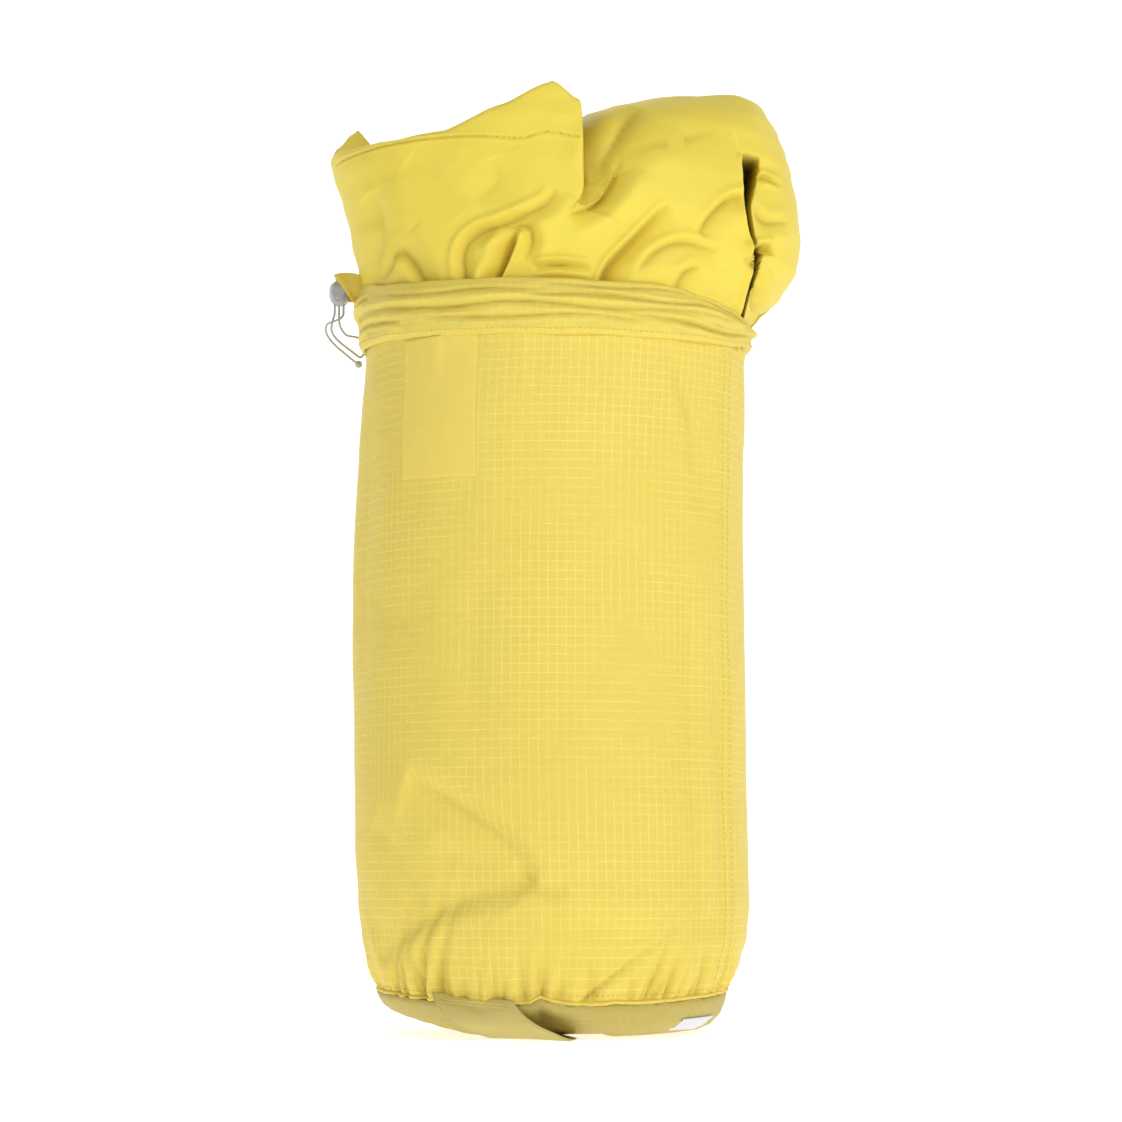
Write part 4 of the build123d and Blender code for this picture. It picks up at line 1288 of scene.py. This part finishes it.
# %% A cloth material
def linear(*rgb):
    """A colour given as 0 to 255 on a screen, as the light it stands for."""
    return tuple(((v / 255 + 0.055) / 1.055) ** 2.4 for v in rgb) + (1.0,)


def cloth_material(name, light, dark, line=None, presence=0.66, thread=0.00045, crinkle=1.0, roughness=0.55,
                   bump=0.0006, hollow=None, fold_shade=0.45):
    """Woven nylon: two tones of the weave, and the ripstop thread if line is given. Shade is painted in from
    the fold attribute by fold_shade, and in the slit with the colour hollow.
    """
    material = bpy.data.materials.new(name)
    material.use_nodes = True
    tree = material.node_tree
    shader = tree.nodes["Principled BSDF"]
    shader.inputs["Specular IOR Level"].default_value = 0.22
    uv = tree.nodes.new("ShaderNodeUVMap")
    uv.uv_map = "cloth"
    group = tree.nodes.new("ShaderNodeGroup")
    group.node_tree = weave
    group.inputs["Thread"].default_value = thread
    group.inputs["Crinkle"].default_value = crinkle
    tree.links.new(uv.outputs[0], group.inputs["Flat Place"])
    colour = blend_colour(tree, group.outputs["Tone"], dark, light)
    height = group.outputs["Height"]
    if line:
        grid = tree.nodes.new("ShaderNodeGroup")
        grid.node_tree = squares
        grid.inputs["Presence"].default_value = presence
        grid.inputs["Spacing"].default_value = RIPSTOP_PITCH
        grid.inputs["Line Width"].default_value = RIPSTOP_LINE
        tree.links.new(uv.outputs[0], grid.inputs["Flat Place"])
        colour = blend_colour(tree, grid.outputs["Line"], colour, line)
        height = maths(tree, "MULTIPLY_ADD", grid.outputs["Line"], 0.35, height)
    # Painted shade: where the fold attribute is high the colour goes towards a deep yellow-brown, for the
    # shade at fold floors, in puckers and beside the pleat.
    fold = tree.nodes.new("ShaderNodeAttribute")
    fold.attribute_name = "fold"
    depth = maths(tree, "MULTIPLY", fold.outputs["Fac"], fold_shade)
    colour = blend_colour(tree, depth, colour, linear(150, 118, 30))
    # hollow is the painted shade of the deep slit, laid where the slit attribute is.
    if hollow:
        slit_shade_node = tree.nodes.new("ShaderNodeAttribute")
        slit_shade_node.attribute_name = "slit"
        colour = blend_colour(tree, slit_shade_node.outputs["Fac"], colour, hollow)
    tree.links.new(colour, shader.inputs["Base Color"])
    rough = maths(tree, "MULTIPLY_ADD", group.outputs["Tone"], 0.16, roughness - 0.08)
    tree.links.new(rough, shader.inputs["Roughness"])
    bump_node = tree.nodes.new("ShaderNodeBump")
    bump_node.inputs["Strength"].default_value = 0.55
    bump_node.inputs["Distance"].default_value = bump
    tree.links.new(height, bump_node.inputs["Height"])
    tree.links.new(bump_node.outputs[0], shader.inputs["Normal"])
    return material


ripstop = cloth_material(
    "ripstop_nylon", linear(239, 216, 103), linear(228, 203, 91), line=linear(255, 238, 136), fold_shade=0.7)
hem_cloth = cloth_material(
    "hem_nylon", linear(239, 218, 104), linear(226, 203, 90), line=linear(250, 232, 130), presence=0.35,
    fold_shade=0.6)
plain = cloth_material("plain_nylon", linear(243, 219, 108), linear(236, 210, 98), crinkle=0.5)
# The rolled sheet's hollow colour is the painted shade inside the slit.
rolled = cloth_material(
    "rolled_nylon", linear(240, 218, 88), linear(234, 210, 80), thread=0.0004, crinkle=0.45, roughness=0.5,
    bump=0.0004, hollow=linear(60, 38, 8), fold_shade=0.62)
# The base is the same ripstop painted darker and duller, for the shade that falls on it under the sack.
base_cloth = cloth_material(
    "base_nylon_painted_shade", linear(203, 187, 106), linear(186, 168, 92), line=linear(220, 205, 126), presence=0.35)
strap_cloth = cloth_material(
    "strap_webbing", linear(207, 194, 120), linear(192, 176, 104), thread=0.0008, crinkle=0.4)
for pieces, material in (
    ((cloth_tube, seam_strip, seam_welt), ripstop),
    ((mouth_hem, cord_ear), hem_cloth),
    ((plain_patch,), plain),
    ((roll_outer, roll_inner), rolled),
    ((round_base,), base_cloth),
    ((grab_strap,), strap_cloth),
):
    for piece in pieces:
        piece.data.materials.append(material)

# %% [markdown]
# ## Thread, cord, label and lock
# The thread is a lighter yellow, and the cord and the blank label are white. Their strands are too
# fine to draw one by one, so each has a fine grain in two tones. The lock is clear plastic with a
# frosted skin, so light passes through it, and its spring is steel.


# %% Small materials
GRAIN_BUMP = 0.0002


def simple_material(name, light, dark, scale, roughness):
    """A material with a fine grain in two tones."""
    material = bpy.data.materials.new(name)
    material.use_nodes = True
    tree = material.node_tree
    shader = tree.nodes["Principled BSDF"]
    place = tree.nodes.new("ShaderNodeTexCoord")
    grain = noise(tree, place.outputs["Object"], scale, 4)
    tree.links.new(blend_colour(tree, grain, dark, light), shader.inputs["Base Color"])
    tree.links.new(maths(tree, "MULTIPLY_ADD", grain, 0.2, roughness - 0.1), shader.inputs["Roughness"])
    bump_node = tree.nodes.new("ShaderNodeBump")
    bump_node.inputs["Strength"].default_value = 0.4
    bump_node.inputs["Distance"].default_value = GRAIN_BUMP
    tree.links.new(grain, bump_node.inputs["Height"])
    tree.links.new(bump_node.outputs[0], shader.inputs["Normal"])
    return material


thread = simple_material("sewing_thread", linear(240, 222, 130), linear(205, 182, 84), 2600, 0.6)
cord_white = simple_material("braided_cord", linear(225, 225, 228), linear(120, 120, 126), 1500, 0.7)
label_white = simple_material("label_weave", linear(238, 238, 242), linear(205, 206, 214), 1800, 0.65)
steel = simple_material("spring_steel", linear(190, 190, 192), linear(150, 150, 154), 900, 0.3)
steel.node_tree.nodes["Principled BSDF"].inputs["Metallic"].default_value = 1.0
clear_plastic = simple_material("frosted_plastic", linear(246, 247, 250), linear(222, 224, 230), 320, 0.3)
plastic_shader = clear_plastic.node_tree.nodes["Principled BSDF"]
plastic_shader.inputs["Transmission Weight"].default_value = 0.55
plastic_shader.inputs["IOR"].default_value = 1.49
for piece in (seam_stitches, hem_stitches, base_stitches, strap_tacks):
    piece.data.materials.append(thread)
side_label.data.materials.append(label_white)
label_stitches.data.materials.append(label_white)
for piece in (cord_loop, cord_tail, hem_cord):
    piece.data.materials.append(cord_white)
CARRIED = {
    "drawcord_strands": cord_white, "stopper_knot": cord_white,
    "cord_lock_body": clear_plastic, "cord_lock_plunger": clear_plastic, "cord_lock_spring": steel,
}
for piece in bpy.data.objects:
    node = piece.get("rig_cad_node") or piece.name
    if node in CARRIED and piece.type == "MESH" and piece not in (cord_loop, cord_tail):
        for slot in piece.material_slots:
            slot.material = CARRIED[node]
        if not piece.material_slots:
            piece.data.materials.append(CARRIED[node])

# %% Sizes and finish
bpy.context.view_layer.update()
size = {"cad_box": cad_box, "visual_box": [list(corner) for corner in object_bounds()]}
print("visual box", size["visual_box"])
